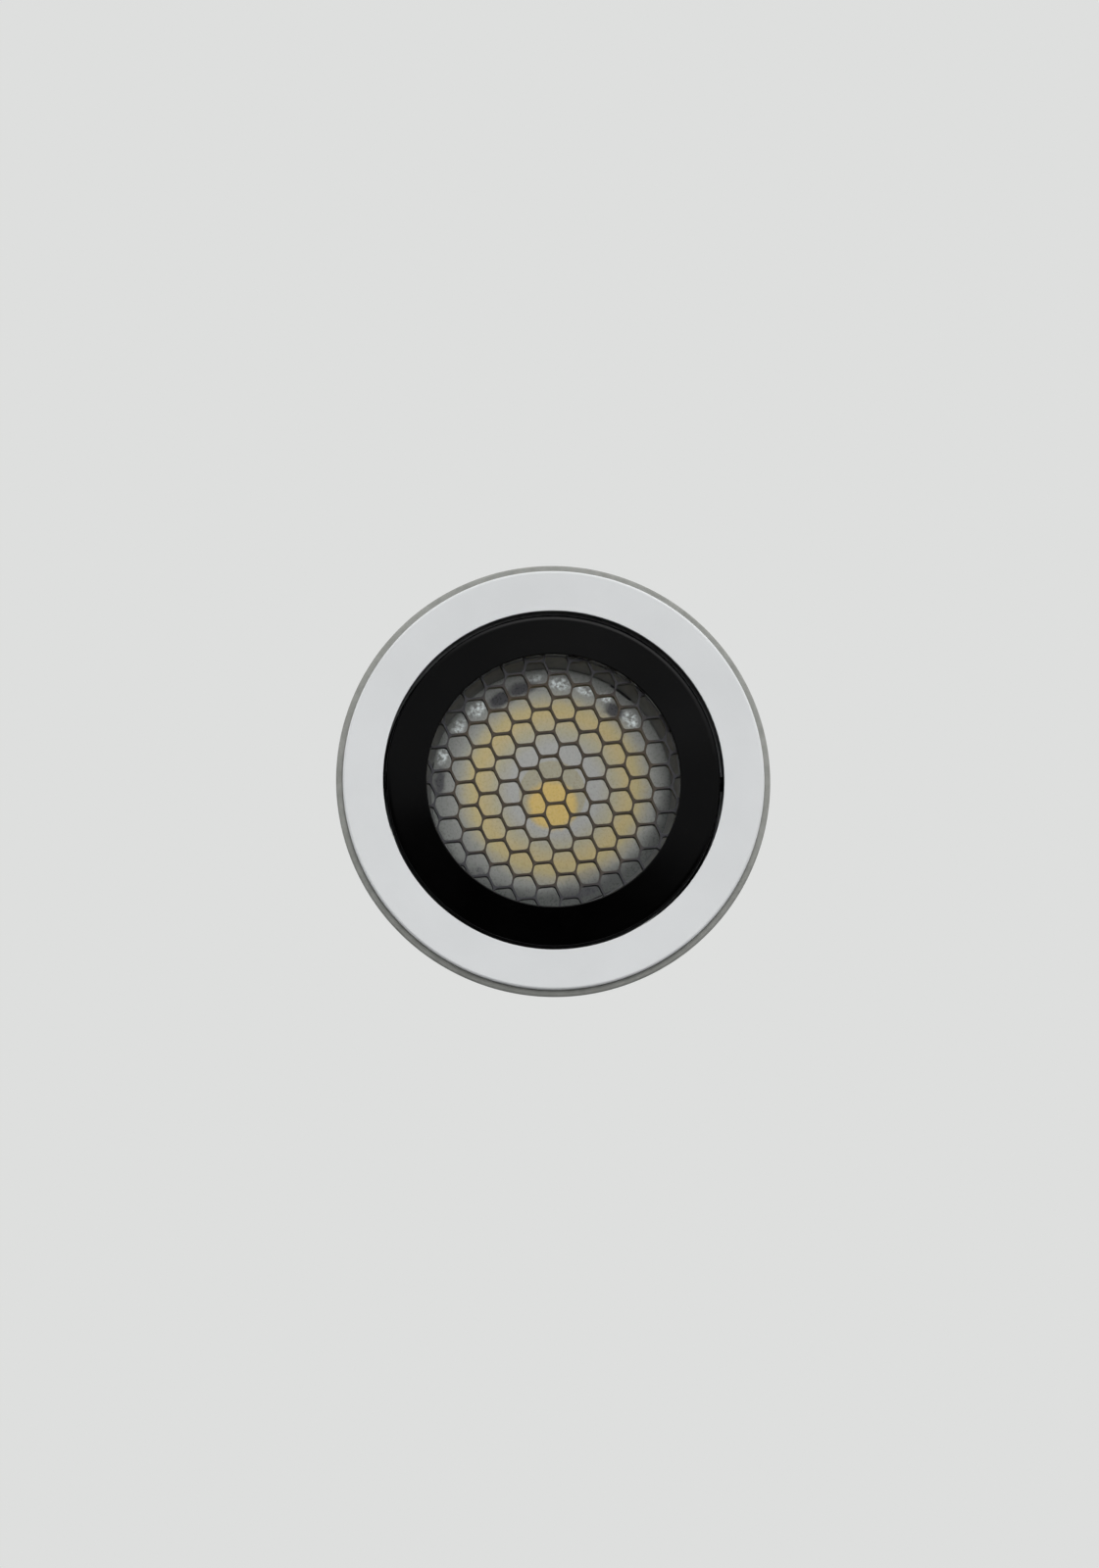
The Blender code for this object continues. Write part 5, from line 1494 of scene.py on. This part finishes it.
@dataclass
class HeatSink:
    """The cast heat sink with its cup, cone, core and fins, and the screws in its flange."""

    cup_bore: float = 26.6 * MM
    cup_radius: float = 28.4 * MM
    cup_floor: float = 15.0 * MM
    cup_step: float = 0.4 * MM
    flange_radius: float = 31.9 * MM
    front: float = 8.5 * MM
    flange_back: float = 10.5 * MM
    cone_front: float = 15.8 * MM
    cone_back: float = 29.3 * MM
    cone_wall: float = 2.4 * MM
    floor_front: float = 31.3 * MM
    floor_back: float = 34.8 * MM
    floor_radius: float = 16.235 * MM
    core_radius: float = 14.6 * MM
    core_back: float = 51.8 * MM
    cup_round: float = 0.4 * MM
    cup_rim_round: float = 0.2 * MM
    flange_rounds: tuple[float, float, float] = (0.3 * MM, 0.4 * MM, 0.5 * MM)
    cone_round: float = 0.8 * MM
    floor_round: float = 0.5 * MM
    core_root_round: float = 0.6 * MM
    core_round: float = 0.3 * MM
    fin_count: int = 20
    fin_thickness: float = 1.3 * MM
    fin_tip: float = 27.9 * MM
    fin_front: float = 15.2 * MM
    fin_back: float = 50.8 * MM
    # How far a fin reaches into the walls of the cup, the cone and the core, and into the floor
    fin_foot: float = 1.1 * MM
    fin_overlap: float = 1.75 * MM
    fin_front_round: float = 0.3 * MM
    # The rounded rear corner: how far in from the tip, how far from the back, and the rounding
    fin_corner: tuple[tuple[float, float, float], ...] = (
        (0.0, 5.0 * MM, 2.0 * MM),
        (1.4 * MM, 1.67 * MM, 1.4 * MM),
        (4.2 * MM, 0.0, 1.0 * MM),
    )
    fin_softness: float = 0.3 * MM
    lead_offset: float = 11.8 * MM
    lead_hole: float = 1.1 * MM
    hold_offset: float = 12.2 * MM
    hold_hole: float = 1.2 * MM
    hold_end: float = 34.3 * MM
    cap_hole: float = 1.1 * MM
    cap_hole_end: float = 47.5 * MM
    flange_hole: float = 1.1 * MM
    screw: Fastener = Fastener(1.8 * MM, 1.3 * MM, 1.0 * MM, 5.6 * MM)
    screw_lift: float = 0.3 * MM
    turns: int = 160

    def build(self) -> None:
        """Models the casting and puts its three screws in."""
        self.build_casting()
        for i, angle in enumerate(FLANGE_SCREW_ANGLES, 1):
            seat = AXIS_IN * (self.flange_back + self.screw_lift)
            place = on_face(FLANGE_SCREW_RING, angle) + seat
            screw = self.screw.build("flange_screw", place, -AXIS_IN, angle)
            name = f"flange_screw_{i}"
            present(screw, name, Body.LAMP, ZINC_PLATED_STEEL, f"module_screw_{i}")

    def fins(self) -> Piece:
        """Models one fin and copies it round the axis.

        Returns:
            All fins as one object.
        """
        cone = self.floor_radius + self.cone_wall - self.fin_foot
        core = self.core_radius - self.fin_foot
        floor = self.floor_back - self.fin_overlap
        corners = [
            Corner(self.cup_radius - self.fin_foot, self.fin_front),
            Corner(self.fin_tip, self.fin_front, self.fin_front_round),
        ]
        for inwards, forwards, rounding in self.fin_corner:
            corners.append(Corner(self.fin_tip - inwards, self.fin_back - forwards, rounding))
        corners += [
            Corner(core, self.fin_back),
            Corner(core, floor),
            Corner(cone, floor),
            Corner(cone, self.cone_back),
        ]
        fin = plate("fin", corners, self.fin_thickness, steps=4)
        softened(fin, self.fin_softness, steps=3)
        copies = []
        for i in range(self.fin_count):
            pick(fin)
            bpy.ops.object.duplicate(linked=False)
            turn = Matrix.Rotation(-math.tau * (i + 0.5) / self.fin_count, 4, "Y")
            copies.append(placed(bpy.context.object, turn))
        bpy.data.objects.remove(fin)
        pick(*copies)
        bpy.ops.object.join()
        whole = bpy.context.object
        whole.name = "fins"
        return whole

    def holes(self) -> list[Piece]:
        """Models what is drilled: for the leads, the retainer, the cap and the flange's screws.

        Returns:
            The cutters.
        """
        front, back = self.floor_front - PAST, self.core_back + PAST
        cutters = []
        for sign in (1, -1):
            lead = AXIS_RIGHT * sign * self.lead_offset
            hold = AXIS_UP * sign * self.hold_offset
            cap = AXIS_UP * sign * CAP_SCREW_OFFSET
            cutters += [
                rod("lead", self.lead_hole, lead, AXIS_IN, front, back),
                rod("hold", self.hold_hole, hold, AXIS_IN, front, self.hold_end),
                rod("cap", self.cap_hole, cap, AXIS_IN, self.cap_hole_end, back),
            ]
        front, back = self.front - PAST, self.flange_back + PAST
        for angle in FLANGE_SCREW_ANGLES:
            middle = on_face(FLANGE_SCREW_RING, angle)
            cutters.append(rod("flange", self.flange_hole, middle, AXIS_IN, front, back))
        return cutters

    def build_casting(self) -> None:
        """Spins the casting, joins the fins and drills it."""
        wall = self.floor_radius + self.cone_wall
        front_round, back_round, root_round = self.flange_rounds
        casting = lathe(
            "casting",
            [
                Corner(0, self.floor_front),
                Corner(self.floor_radius, self.floor_front),
                Corner(self.floor_radius, self.cone_back, self.cup_round),
                Corner(self.cup_bore - self.cup_step, self.cup_floor),
                Corner(self.cup_bore, self.cup_floor),
                Corner(self.cup_bore, self.front, self.cup_rim_round),
                Corner(self.flange_radius, self.front, front_round),
                Corner(self.flange_radius, self.flange_back, back_round),
                Corner(self.cup_radius, self.flange_back, root_round),
                Corner(self.cup_radius, self.cone_front, self.cone_round),
                Corner(wall, self.cone_back, self.cone_round),
                Corner(wall, self.floor_back, self.floor_round),
                Corner(self.core_radius, self.floor_back, self.core_root_round),
                Corner(self.core_radius, self.core_back, self.core_round),
                Corner(0, self.core_back),
            ],
            self.turns,
            closed=False,
        )
        combined(casting, "UNION", [self.fins()])
        combined(casting, "DIFFERENCE", self.holes())
        present(casting, "finned_casting", Body.LAMP, CAST_ALUMINIUM, "heat_sink")


@dataclass
class RearCap:
    """The cap over the wiring, with its screws, the cable's grommet and what lies inside."""

    front: float = 52.1 * MM
    back: float = 64.1 * MM
    radius: float = 14.6 * MM
    wall: float = 1.4 * MM
    end: float = 1.6 * MM
    edge_round: float = 1.6 * MM
    rim_round: float = 0.25 * MM
    inlet_radius: float = 4.5 * MM
    pillar_radius: float = 2.2 * MM
    screw_hole: float = 1.1 * MM
    seat_radius: float = 2.1 * MM
    seat_depth: float = 1.4 * MM
    screw: Fastener = Fastener(1.8 * MM, 1.1 * MM, 1.0 * MM, 15.2 * MM)
    screw_depth: float = 1.1 * MM
    screw_turn: float = 70.0
    turns: int = 128
    grommet_bore: float = 3.1 * MM
    grommet_radius: float = 4.2 * MM
    grommet_collar: float = 5.4 * MM
    grommet_taper: float = 0.3 * MM
    grommet_front: float = 61.87 * MM
    grommet_seat: float = 64.4 * MM
    grommet_back: float = 65.4 * MM
    grommet_rounds: tuple[float, float, float] = (0.3 * MM, 0.2 * MM, 0.4 * MM)

    def build(self) -> None:
        """Models the cap, its screws and the grommet, and dresses the wiring inside."""
        self.build_cap()
        self.build_grommet()
        for sign, label in ((1, "top"), (-1, "bottom")):
            seat = AXIS_IN * (self.back - self.screw_depth)
            place = AXIS_UP * sign * CAP_SCREW_OFFSET + seat
            screw = self.screw.build("cap_fastener", place, -AXIS_IN, self.screw_turn)
            name = f"cover_screw_{label}"
            present(screw, name, Body.LAMP, ZINC_PLATED_STEEL, f"cap_screw_{label}")
        dress_node("terminal_block", WHITE_POLYCARBONATE)
        dress_node("lead_right", RED_WIRE)
        dress_node("lead_left", BLACK_WIRE)

    def build_cap(self) -> None:
        """Spins the cap, adds its screw pillars and drills them."""
        cap = lathe(
            "cap",
            [
                Corner(self.radius - self.wall, self.front),
                Corner(self.radius, self.front, self.rim_round),
                Corner(self.radius, self.back, self.edge_round),
                Corner(self.inlet_radius, self.back, self.rim_round),
                Corner(self.inlet_radius, self.back - self.end),
                Corner(self.radius - self.wall, self.back - self.end),
            ],
            self.turns,
            steps=8,
        )
        inside, past = self.back - self.end / 2, self.back + PAST
        seat = self.back - self.seat_depth
        pillars = []
        holes = []
        for sign in (1, -1):
            middle = AXIS_UP * sign * CAP_SCREW_OFFSET
            pillars.append(rod("pillar", self.pillar_radius, middle, AXIS_IN, self.front, inside))
            holes += [
                rod("hole", self.screw_hole, middle, AXIS_IN, self.front - PAST, past),
                rod("seat", self.seat_radius, middle, AXIS_IN, seat, past, steps=40),
            ]
        combined(cap, "UNION", pillars)
        combined(cap, "DIFFERENCE", holes)
        present(cap, "cover_cap", Body.LAMP, BLACK_NYLON, "rear_cap")

    def build_grommet(self) -> None:
        """Spins the rubber grommet with its rounded collar."""
        front_round, collar_round, back_round = self.grommet_rounds
        collar = self.grommet_collar - self.grommet_taper
        grommet = lathe(
            "grommet",
            [
                Corner(self.grommet_bore, self.grommet_front, front_round),
                Corner(self.grommet_radius, self.grommet_front, front_round),
                Corner(self.grommet_radius, self.grommet_seat),
                Corner(self.grommet_collar, self.grommet_seat, collar_round),
                Corner(collar, self.grommet_back, back_round),
                Corner(self.grommet_bore, self.grommet_back, back_round),
            ],
        )
        present(grommet, "grommet", Body.LAMP, BLACK_RUBBER, "cable_grommet")


@dataclass
class SpringClip:
    """One spring clip: its riveted pin, arm, rubber sleeve and torsion spring."""

    side: Side
    pin_radius: float = 1.0 * MM
    pin_half: float = 7.6 * MM
    head_radius: float = 1.6 * MM
    head_height: float = 0.6 * MM
    head_dome: float = 0.8
    arm_width: float = 10.6 * MM
    arm_thickness: float = 0.8 * MM
    arm_end_round: float = 0.2 * MM
    arm_softness: float = 0.12 * MM
    # The arm is rolled round its pin as far as this angle in degrees
    knuckle_end: float = 270.0
    knuckle_steps: int = 40
    bore_radius: float = 1.15 * MM
    tip_offset: float = 40.1 * MM
    tip_depth: float = 1.8 * MM
    window_width: float = 6.6 * MM
    window_length: float = 4.4 * MM
    sleeve_length: float = 6.0 * MM
    sleeve_thickness: float = 2.6 * MM
    sleeve_width: float = 13.0 * MM
    sleeve_end: float = 1.1 * MM
    sleeve_floor: float = 0.8 * MM
    sleeve_softness: float = 0.7 * MM
    # The grooves' places are shares of the sleeve's length, their middles just outside its face
    groove_places: tuple[float, ...] = (-0.22, 0.0, 0.22)
    groove_radius: float = 0.35 * MM
    groove_lift: float = 0.1 * MM
    wire_radius: float = 0.35 * MM
    wire_steps: int = 3
    coil_radius: float = 1.65 * MM
    coil_turns: int = 4
    coil_pitch: float = 1.16 * MM
    coil_steps: int = 28
    fixed_leg: float = 7.4 * MM
    fixed_knee: float = 0.75
    moving_leg: float = 6.4 * MM
    # How many wire radii at each end of the coils stay stiff
    stiff_end: float = 1.3
    spring_smooth: float = 50.0
    gap: float = 0.3 * MM

    @property
    def knuckle(self) -> float:
        """Outer radius of the arm's knuckle."""
        return self.bore_radius + self.arm_thickness

    @property
    def middle(self) -> float:
        """Distance of the arm's middle plane from the pin's axis."""
        return self.knuckle - self.arm_thickness / 2

    @property
    def body(self) -> Body:
        """The body that the arm rides on."""
        return Body.CLIP_RIGHT if self.side is Side.RIGHT else Body.CLIP_LEFT

    @property
    def pin_place(self) -> Vector:
        """The middle of the pin."""
        return self.side.outward * CLIP_OFFSET + AXIS_IN * CLIP_DEPTH

    def arm_frame(self) -> tuple[float, float]:
        """Length and lean of the arm.

        Returns:
            The length from the pin to the tip and the lean from the depth direction, in radians.
        """
        across = self.tip_offset - CLIP_OFFSET
        along = CLIP_DEPTH - self.tip_depth
        length = math.sqrt(across**2 + along**2 - self.middle**2)
        return length, math.atan2(across, along) - math.atan2(self.middle, length)

    def placing(self) -> Matrix:
        """Places what is modelled with the arm along X and its outer face towards Y.

        Returns:
            The matrix that brings it to the clip.
        """
        turn = Matrix.Rotation(self.arm_frame()[1] - QUARTER_TURN, 4, "Z")
        place = Matrix.Translation((CLIP_OFFSET, CLIP_DEPTH, 0))
        return Matrix.Scale(self.side.value, 4, AXIS_RIGHT) @ place @ turn

    def build(self) -> None:
        """Models and dresses the clip's pieces."""
        self.build_pin()
        self.build_arm()
        self.build_sleeve()
        self.build_spring()

    def build_pin(self) -> None:
        """Spins the riveted pin with its domed heads."""
        top = self.pin_half + self.head_height
        dome = self.head_height * self.head_dome
        pin = lathe(
            "pin",
            [
                Corner(0, -top),
                Corner(self.head_radius, -top, dome),
                Corner(self.head_radius, -self.pin_half),
                Corner(self.pin_radius, -self.pin_half),
                Corner(self.pin_radius, self.pin_half),
                Corner(self.head_radius, self.pin_half),
                Corner(self.head_radius, top, dome),
                Corner(0, top),
            ],
            turns=40,
            closed=False,
        )
        upright = Matrix.Rotation(QUARTER_TURN, 4, "X")
        placed(pin, Matrix.Translation(self.pin_place) @ upright)
        label = self.side.label
        present(pin, f"rivet_{label}", Body.TRIM, ZINC_PLATED_STEEL, f"clip_pin_{label}")

    def build_arm(self) -> None:
        """Models the stamped arm, its rolled knuckles and the window for the spring."""
        length = self.arm_frame()[0]
        inner = self.knuckle - self.arm_thickness
        meet = math.asin(inner / self.knuckle)
        corners = [
            Corner(length, self.knuckle, self.arm_end_round),
            Corner(length, inner, self.arm_end_round),
        ]
        for i in range(self.knuckle_steps + 1):
            turn = -meet + (math.radians(self.knuckle_end) + meet) * i / self.knuckle_steps
            corners.append(Corner(self.knuckle * math.cos(turn), -self.knuckle * math.sin(turn)))
        arm = plate("arm", corners, self.arm_width)
        half = self.arm_width
        bore = rod("bore", self.bore_radius, ORIGIN, AXIS_UP, -half, half, steps=40)
        reach = self.window_length + self.knuckle + PAST
        size = (reach, 2 * self.knuckle + 2 * PAST, self.window_width)
        window = block("window", size, Vector((self.window_length - reach / 2, 0, 0)))
        combined(arm, "DIFFERENCE", [bore, window])
        softened(arm, self.arm_softness, angle=50)
        placed(arm, self.placing())
        label = self.side.label
        present(arm, f"spring_arm_{label}", self.body, SPRING_STEEL, f"clip_arm_{label}")

    def build_sleeve(self) -> None:
        """Models the rubber sleeve with its rounded edges and grip grooves."""
        end = self.arm_frame()[0] + self.sleeve_end
        centre = Vector((end - self.sleeve_length / 2, self.middle, 0))
        size = (self.sleeve_length, self.sleeve_thickness, self.sleeve_width)
        sleeve = softened(block("sleeve", size, centre), self.sleeve_softness, steps=5)
        half = self.sleeve_width
        face = self.sleeve_thickness / 2 + self.groove_lift
        cuts = []
        for share in self.groove_places:
            groove = centre + Vector((share * self.sleeve_length, face, 0))
            cuts.append(rod("groove", self.groove_radius, groove, AXIS_UP, -half, half, steps=20))
        reach = self.sleeve_length - self.sleeve_floor + PAST
        size = (reach, self.arm_thickness + 2 * self.gap, self.arm_width + 2 * self.gap)
        slot_centre = Vector((end - self.sleeve_floor - reach / 2, self.middle, 0))
        combined(sleeve, "DIFFERENCE", [*cuts, block("slot", size, slot_centre)])
        placed(sleeve, self.placing())
        label = self.side.label
        present(sleeve, f"rubber_tip_{label}", self.body, BLACK_RUBBER, f"clip_sleeve_{label}")

    def spring_points(self) -> list[Vector]:
        """The way of the spring's wire: fixed leg, coils and the leg that lies on the arm.

        Returns:
            The points of the wire's middle line.
        """
        lean = self.arm_frame()[1]
        axis = Vector((CLIP_OFFSET, CLIP_DEPTH, 0))
        half = self.coil_turns * self.coil_pitch / 2
        sweep = math.tau * self.coil_turns - (math.pi - lean)
        count = self.coil_turns * self.coil_steps
        coils = []
        for i in range(count + 1):
            angle = math.pi + sweep * i / count
            around = Vector((math.cos(angle), math.sin(angle), 0)) * self.coil_radius
            coils.append(axis + around + AXIS_UP * (2 * half * i / count - half))
        leg = math.sqrt(COLLAR_LIP**2 - half**2) - self.gap - self.wire_radius
        fixed_end = Vector((leg, coils[0].y - self.fixed_leg, coils[0].z))
        fixed_knee = coils[0] + (fixed_end - coils[0]) * self.fixed_knee
        along = Vector((math.sin(lean), -math.cos(lean), 0))
        outward = Vector((math.cos(lean), math.sin(lean), 0))
        over = self.knuckle + self.gap + self.wire_radius
        on_arm = axis + outward * over + AXIS_UP * half
        knee = on_arm + along * (self.moving_leg - 2 * self.wire_radius)
        end = on_arm + along * self.moving_leg
        points = [fixed_end, fixed_knee, *coils, knee, end]
        return [Vector((self.side.value * p.x, p.y, p.z)) for p in points]

    def build_spring(self) -> None:
        """Draws the torsion spring's wire as a curve and makes it a mesh."""
        points = self.spring_points()
        deselect()
        bpy.ops.curve.primitive_nurbs_path_add(location=(0, 0, 0))
        curve = bpy.context.object.data
        curve.splines.clear()
        line = curve.splines.new("POLY")
        line.points.add(len(points) - 1)
        for point, place in zip(line.points, points):
            point.co = (*place, 1)
        curve.bevel_depth = self.wire_radius
        curve.bevel_resolution = self.wire_steps
        curve.use_fill_caps = True
        pick(bpy.context.object)
        bpy.ops.object.convert(target="MESH")
        spring = bpy.context.object
        with Editing(spring) as edit:
            edit.merge()
            edit.turn_out()
        label = self.side.label
        name = f"torsion_spring_{label}"
        clothe(spring, name, SPRING_STEEL, f"clip_spring_{label}", self.spring_smooth)
        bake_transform(spring)


# Studio


@dataclass(frozen=True)
class SoftBox:
    """A square soft light that faces the lamp."""

    name: str
    place: tuple[float, float, float]
    size: float
    power: float
    mirrored: bool = True

    def build(self) -> None:
        """Adds the light and turns it to the lamp."""
        deselect()
        bpy.ops.object.light_add(type="AREA", location=self.place)
        box = bpy.context.object
        box.name = self.name
        box.data.shape = "SQUARE"
        box.data.size = self.size
        box.data.energy = self.power
        box.visible_glossy = self.mirrored
        box.rotation_mode = "QUATERNION"
        box.rotation_quaternion = (-Vector(self.place)).to_track_quat("-Z", "Y")


@dataclass
class Studio:
    """Camera at the photograph's angle, pale surroundings, soft lights and a low floor.

    Lengths are in metres, pixels are the photograph's, and the scale is metres for a pixel.
    """

    photo_size: tuple[int, int] = (1121, 1600)
    scale: float = 0.195 * MM
    target: tuple[float, float, float] = (0.0, -2.4 * MM, 0.0)
    target_pixel: tuple[float, float] = (565.1, 795.1)
    distance: float = 1.2
    view_tilt: float = 7.7
    view_side: tuple[float, float] = (-0.34, -0.94)
    sensor: float = 36.0
    clip_start: float = 0.01
    wall_colour: str = "#dedfde"
    # The room in front, from below to above, and the even grey behind the wall's plane
    room_up: tuple[float, float, float] = (0.2, 0.0, 0.98)
    room_levels: tuple[tuple[float, str], ...] = (
        (0.0, "#050505"),
        (0.06, "#666768"),
        (0.42, "#666768"),
        (0.54, "#f8f8f8"),
    )
    behind_colour: str = "#c4c6c8"
    behind_range: tuple[float, float] = (-0.3, 0.15)
    floor_height: float = -0.6
    floor_radius: float = 3.0
    floor_sides: int = 96
    # The floor passes into the backdrop between these shares of its radius
    floor_fade: tuple[float, float] = (0.25, 0.95)
    boxes: tuple[SoftBox, ...] = (
        SoftBox("front_light", (0.0, -1.4, 0.2), 0.8, 13.2, False),
        SoftBox("key_light", (0.3, -0.95, 1.1), 1.1, 8.0, False),
        SoftBox("window_glint", (0.66, -1.36, 0.56), 0.45, 0.13),
        SoftBox("low_fill", (-0.3, -0.7, -0.9), 0.9, 0.5, False),
        SoftBox("left_fill", (-1.5, 0.25, 0.5), 0.8, 7.0),
        SoftBox("right_fill", (1.5, 0.25, 0.5), 0.8, 7.0),
        SoftBox("back_light", (0.5, 1.3, 0.9), 1.0, 9.0),
    )

    def build(self) -> None:
        """Sets up the camera, the surroundings, the lights and the floor."""
        self.build_camera()
        self.build_world()
        self.build_floor()
        for box in self.boxes:
            box.build()
        bpy.context.scene.view_settings.view_transform = "Standard"

    def build_camera(self) -> None:
        """Puts the camera where the photograph was taken from."""
        tilt = math.radians(self.view_tilt)
        side = Vector((self.view_side[0], 0, self.view_side[1])).normalized()
        away = side * math.sin(tilt) - AXIS_IN * math.cos(tilt)
        deselect()
        bpy.ops.object.camera_add(location=Vector(self.target) + away * self.distance)
        camera = bpy.context.object
        camera.name = "photo_camera"
        width, height = self.photo_size
        camera.data.sensor_width = self.sensor
        camera.data.lens = self.sensor * self.distance / (height * self.scale)
        camera.data.shift_x = (width / 2 - self.target_pixel[0]) / height
        camera.data.shift_y = (self.target_pixel[1] - height / 2) / height
        camera.rotation_mode = "QUATERNION"
        camera.rotation_quaternion = (-away).to_track_quat("-Z", "Y")
        camera.data.clip_start = self.clip_start
        bpy.context.scene.camera = camera

    def build_world(self) -> None:
        """Makes the pale surroundings that the camera sees, and a dimmer room in front."""
        world = bpy.data.worlds.new("studio_room")
        bpy.context.scene.world = world
        world.use_nodes = True
        tree = world.node_tree
        way = add_node(tree, "TexCoord", output="Generated")
        depth = add_node(tree, "SeparateXYZ", {"Vector": way}, "Y")
        height = add_node(
            tree, "VectorMath", {0: way, 1: self.room_up}, "Value", operation="DOT_PRODUCT"
        )
        room = add_node(tree, "ValToRGB", {"Fac": height})
        fill_ramp(room.node, self.room_levels)
        start, end = self.behind_range
        span = {"Value": depth, "From Min": start, "From Max": end}
        behind = add_node(tree, "MapRange", span, interpolation_type="SMOOTHSTEP")
        seen = add_node(tree, "LightPath", output="Is Camera Ray")
        colour = room
        for share, over in ((behind, self.behind_colour), (seen, self.wall_colour)):
            layers = {"Factor": share, MIX_UNDER: colour, MIX_OVER: linear(over)}
            colour = add_node(tree, "Mix", layers, MIX_RESULT, data_type="RGBA")
        tree.links.new(colour, tree.nodes["Background"].inputs["Color"])

    def build_floor(self) -> None:
        """Lays the pale floor well below the lamp, so that it passes into the surroundings."""
        deselect()
        place = AXIS_UP * self.floor_height
        bpy.ops.mesh.primitive_circle_add(
            vertices=self.floor_sides,
            radius=self.floor_radius,
            fill_type="NGON",
            location=place,
        )
        floor = bpy.context.object
        floor.name = "studio_floor"
        floor.data.materials.append(self.floor_material())
        floor.visible_glossy = False
        floor.visible_diffuse = False

    def floor_material(self) -> bpy.types.Material:
        """Makes the floor's paint give way to the backdrop's colour far from the lamp.

        Returns:
            The floor's material.
        """
        made = PALE_FLOOR_PAINT.material()
        tree = made.node_tree
        place = add_node(tree, "TexCoord", output="Object")
        reach = add_node(tree, "VectorMath", {0: place}, "Value", operation="LENGTH")
        near, far = (share * self.floor_radius for share in self.floor_fade)
        span = {"Value": reach, "From Min": near, "From Max": far}
        fade = add_node(tree, "MapRange", span, interpolation_type="SMOOTHSTEP")
        seen = add_node(tree, "LightPath", output="Is Camera Ray")
        share = add_node(tree, "Math", {0: fade, 1: seen}, operation="MULTIPLY")
        backdrop = {"Color": linear(self.wall_colour), "Strength": 1.0}
        paint = tree.nodes["Principled BSDF"].outputs["BSDF"]
        layers = {0: share, 1: paint, 2: add_node(tree, "Emission", backdrop)}
        mixed = add_node(tree, "MixShader", layers)
        tree.links.new(mixed, tree.nodes["Material Output"].inputs["Surface"])
        return made


def main() -> None:
    """Builds the light's sub-assemblies from the wall inwards, then the studio round them."""
    logging.basicConfig(level=logging.INFO, format="%(name)s: %(message)s")
    Studio().build()
    for assembly in (
        WallTrim(),
        TiltingRing(),
        HoneycombLouvre(),
        Optics(),
        HeatSink(),
        RearCap(),
        SpringClip(Side.RIGHT),
        SpringClip(Side.LEFT),
    ):
        assembly.build()
        LOG.info("%s is built", type(assembly).__name__)
    deselect()


if __name__ == "__main__":
    main()
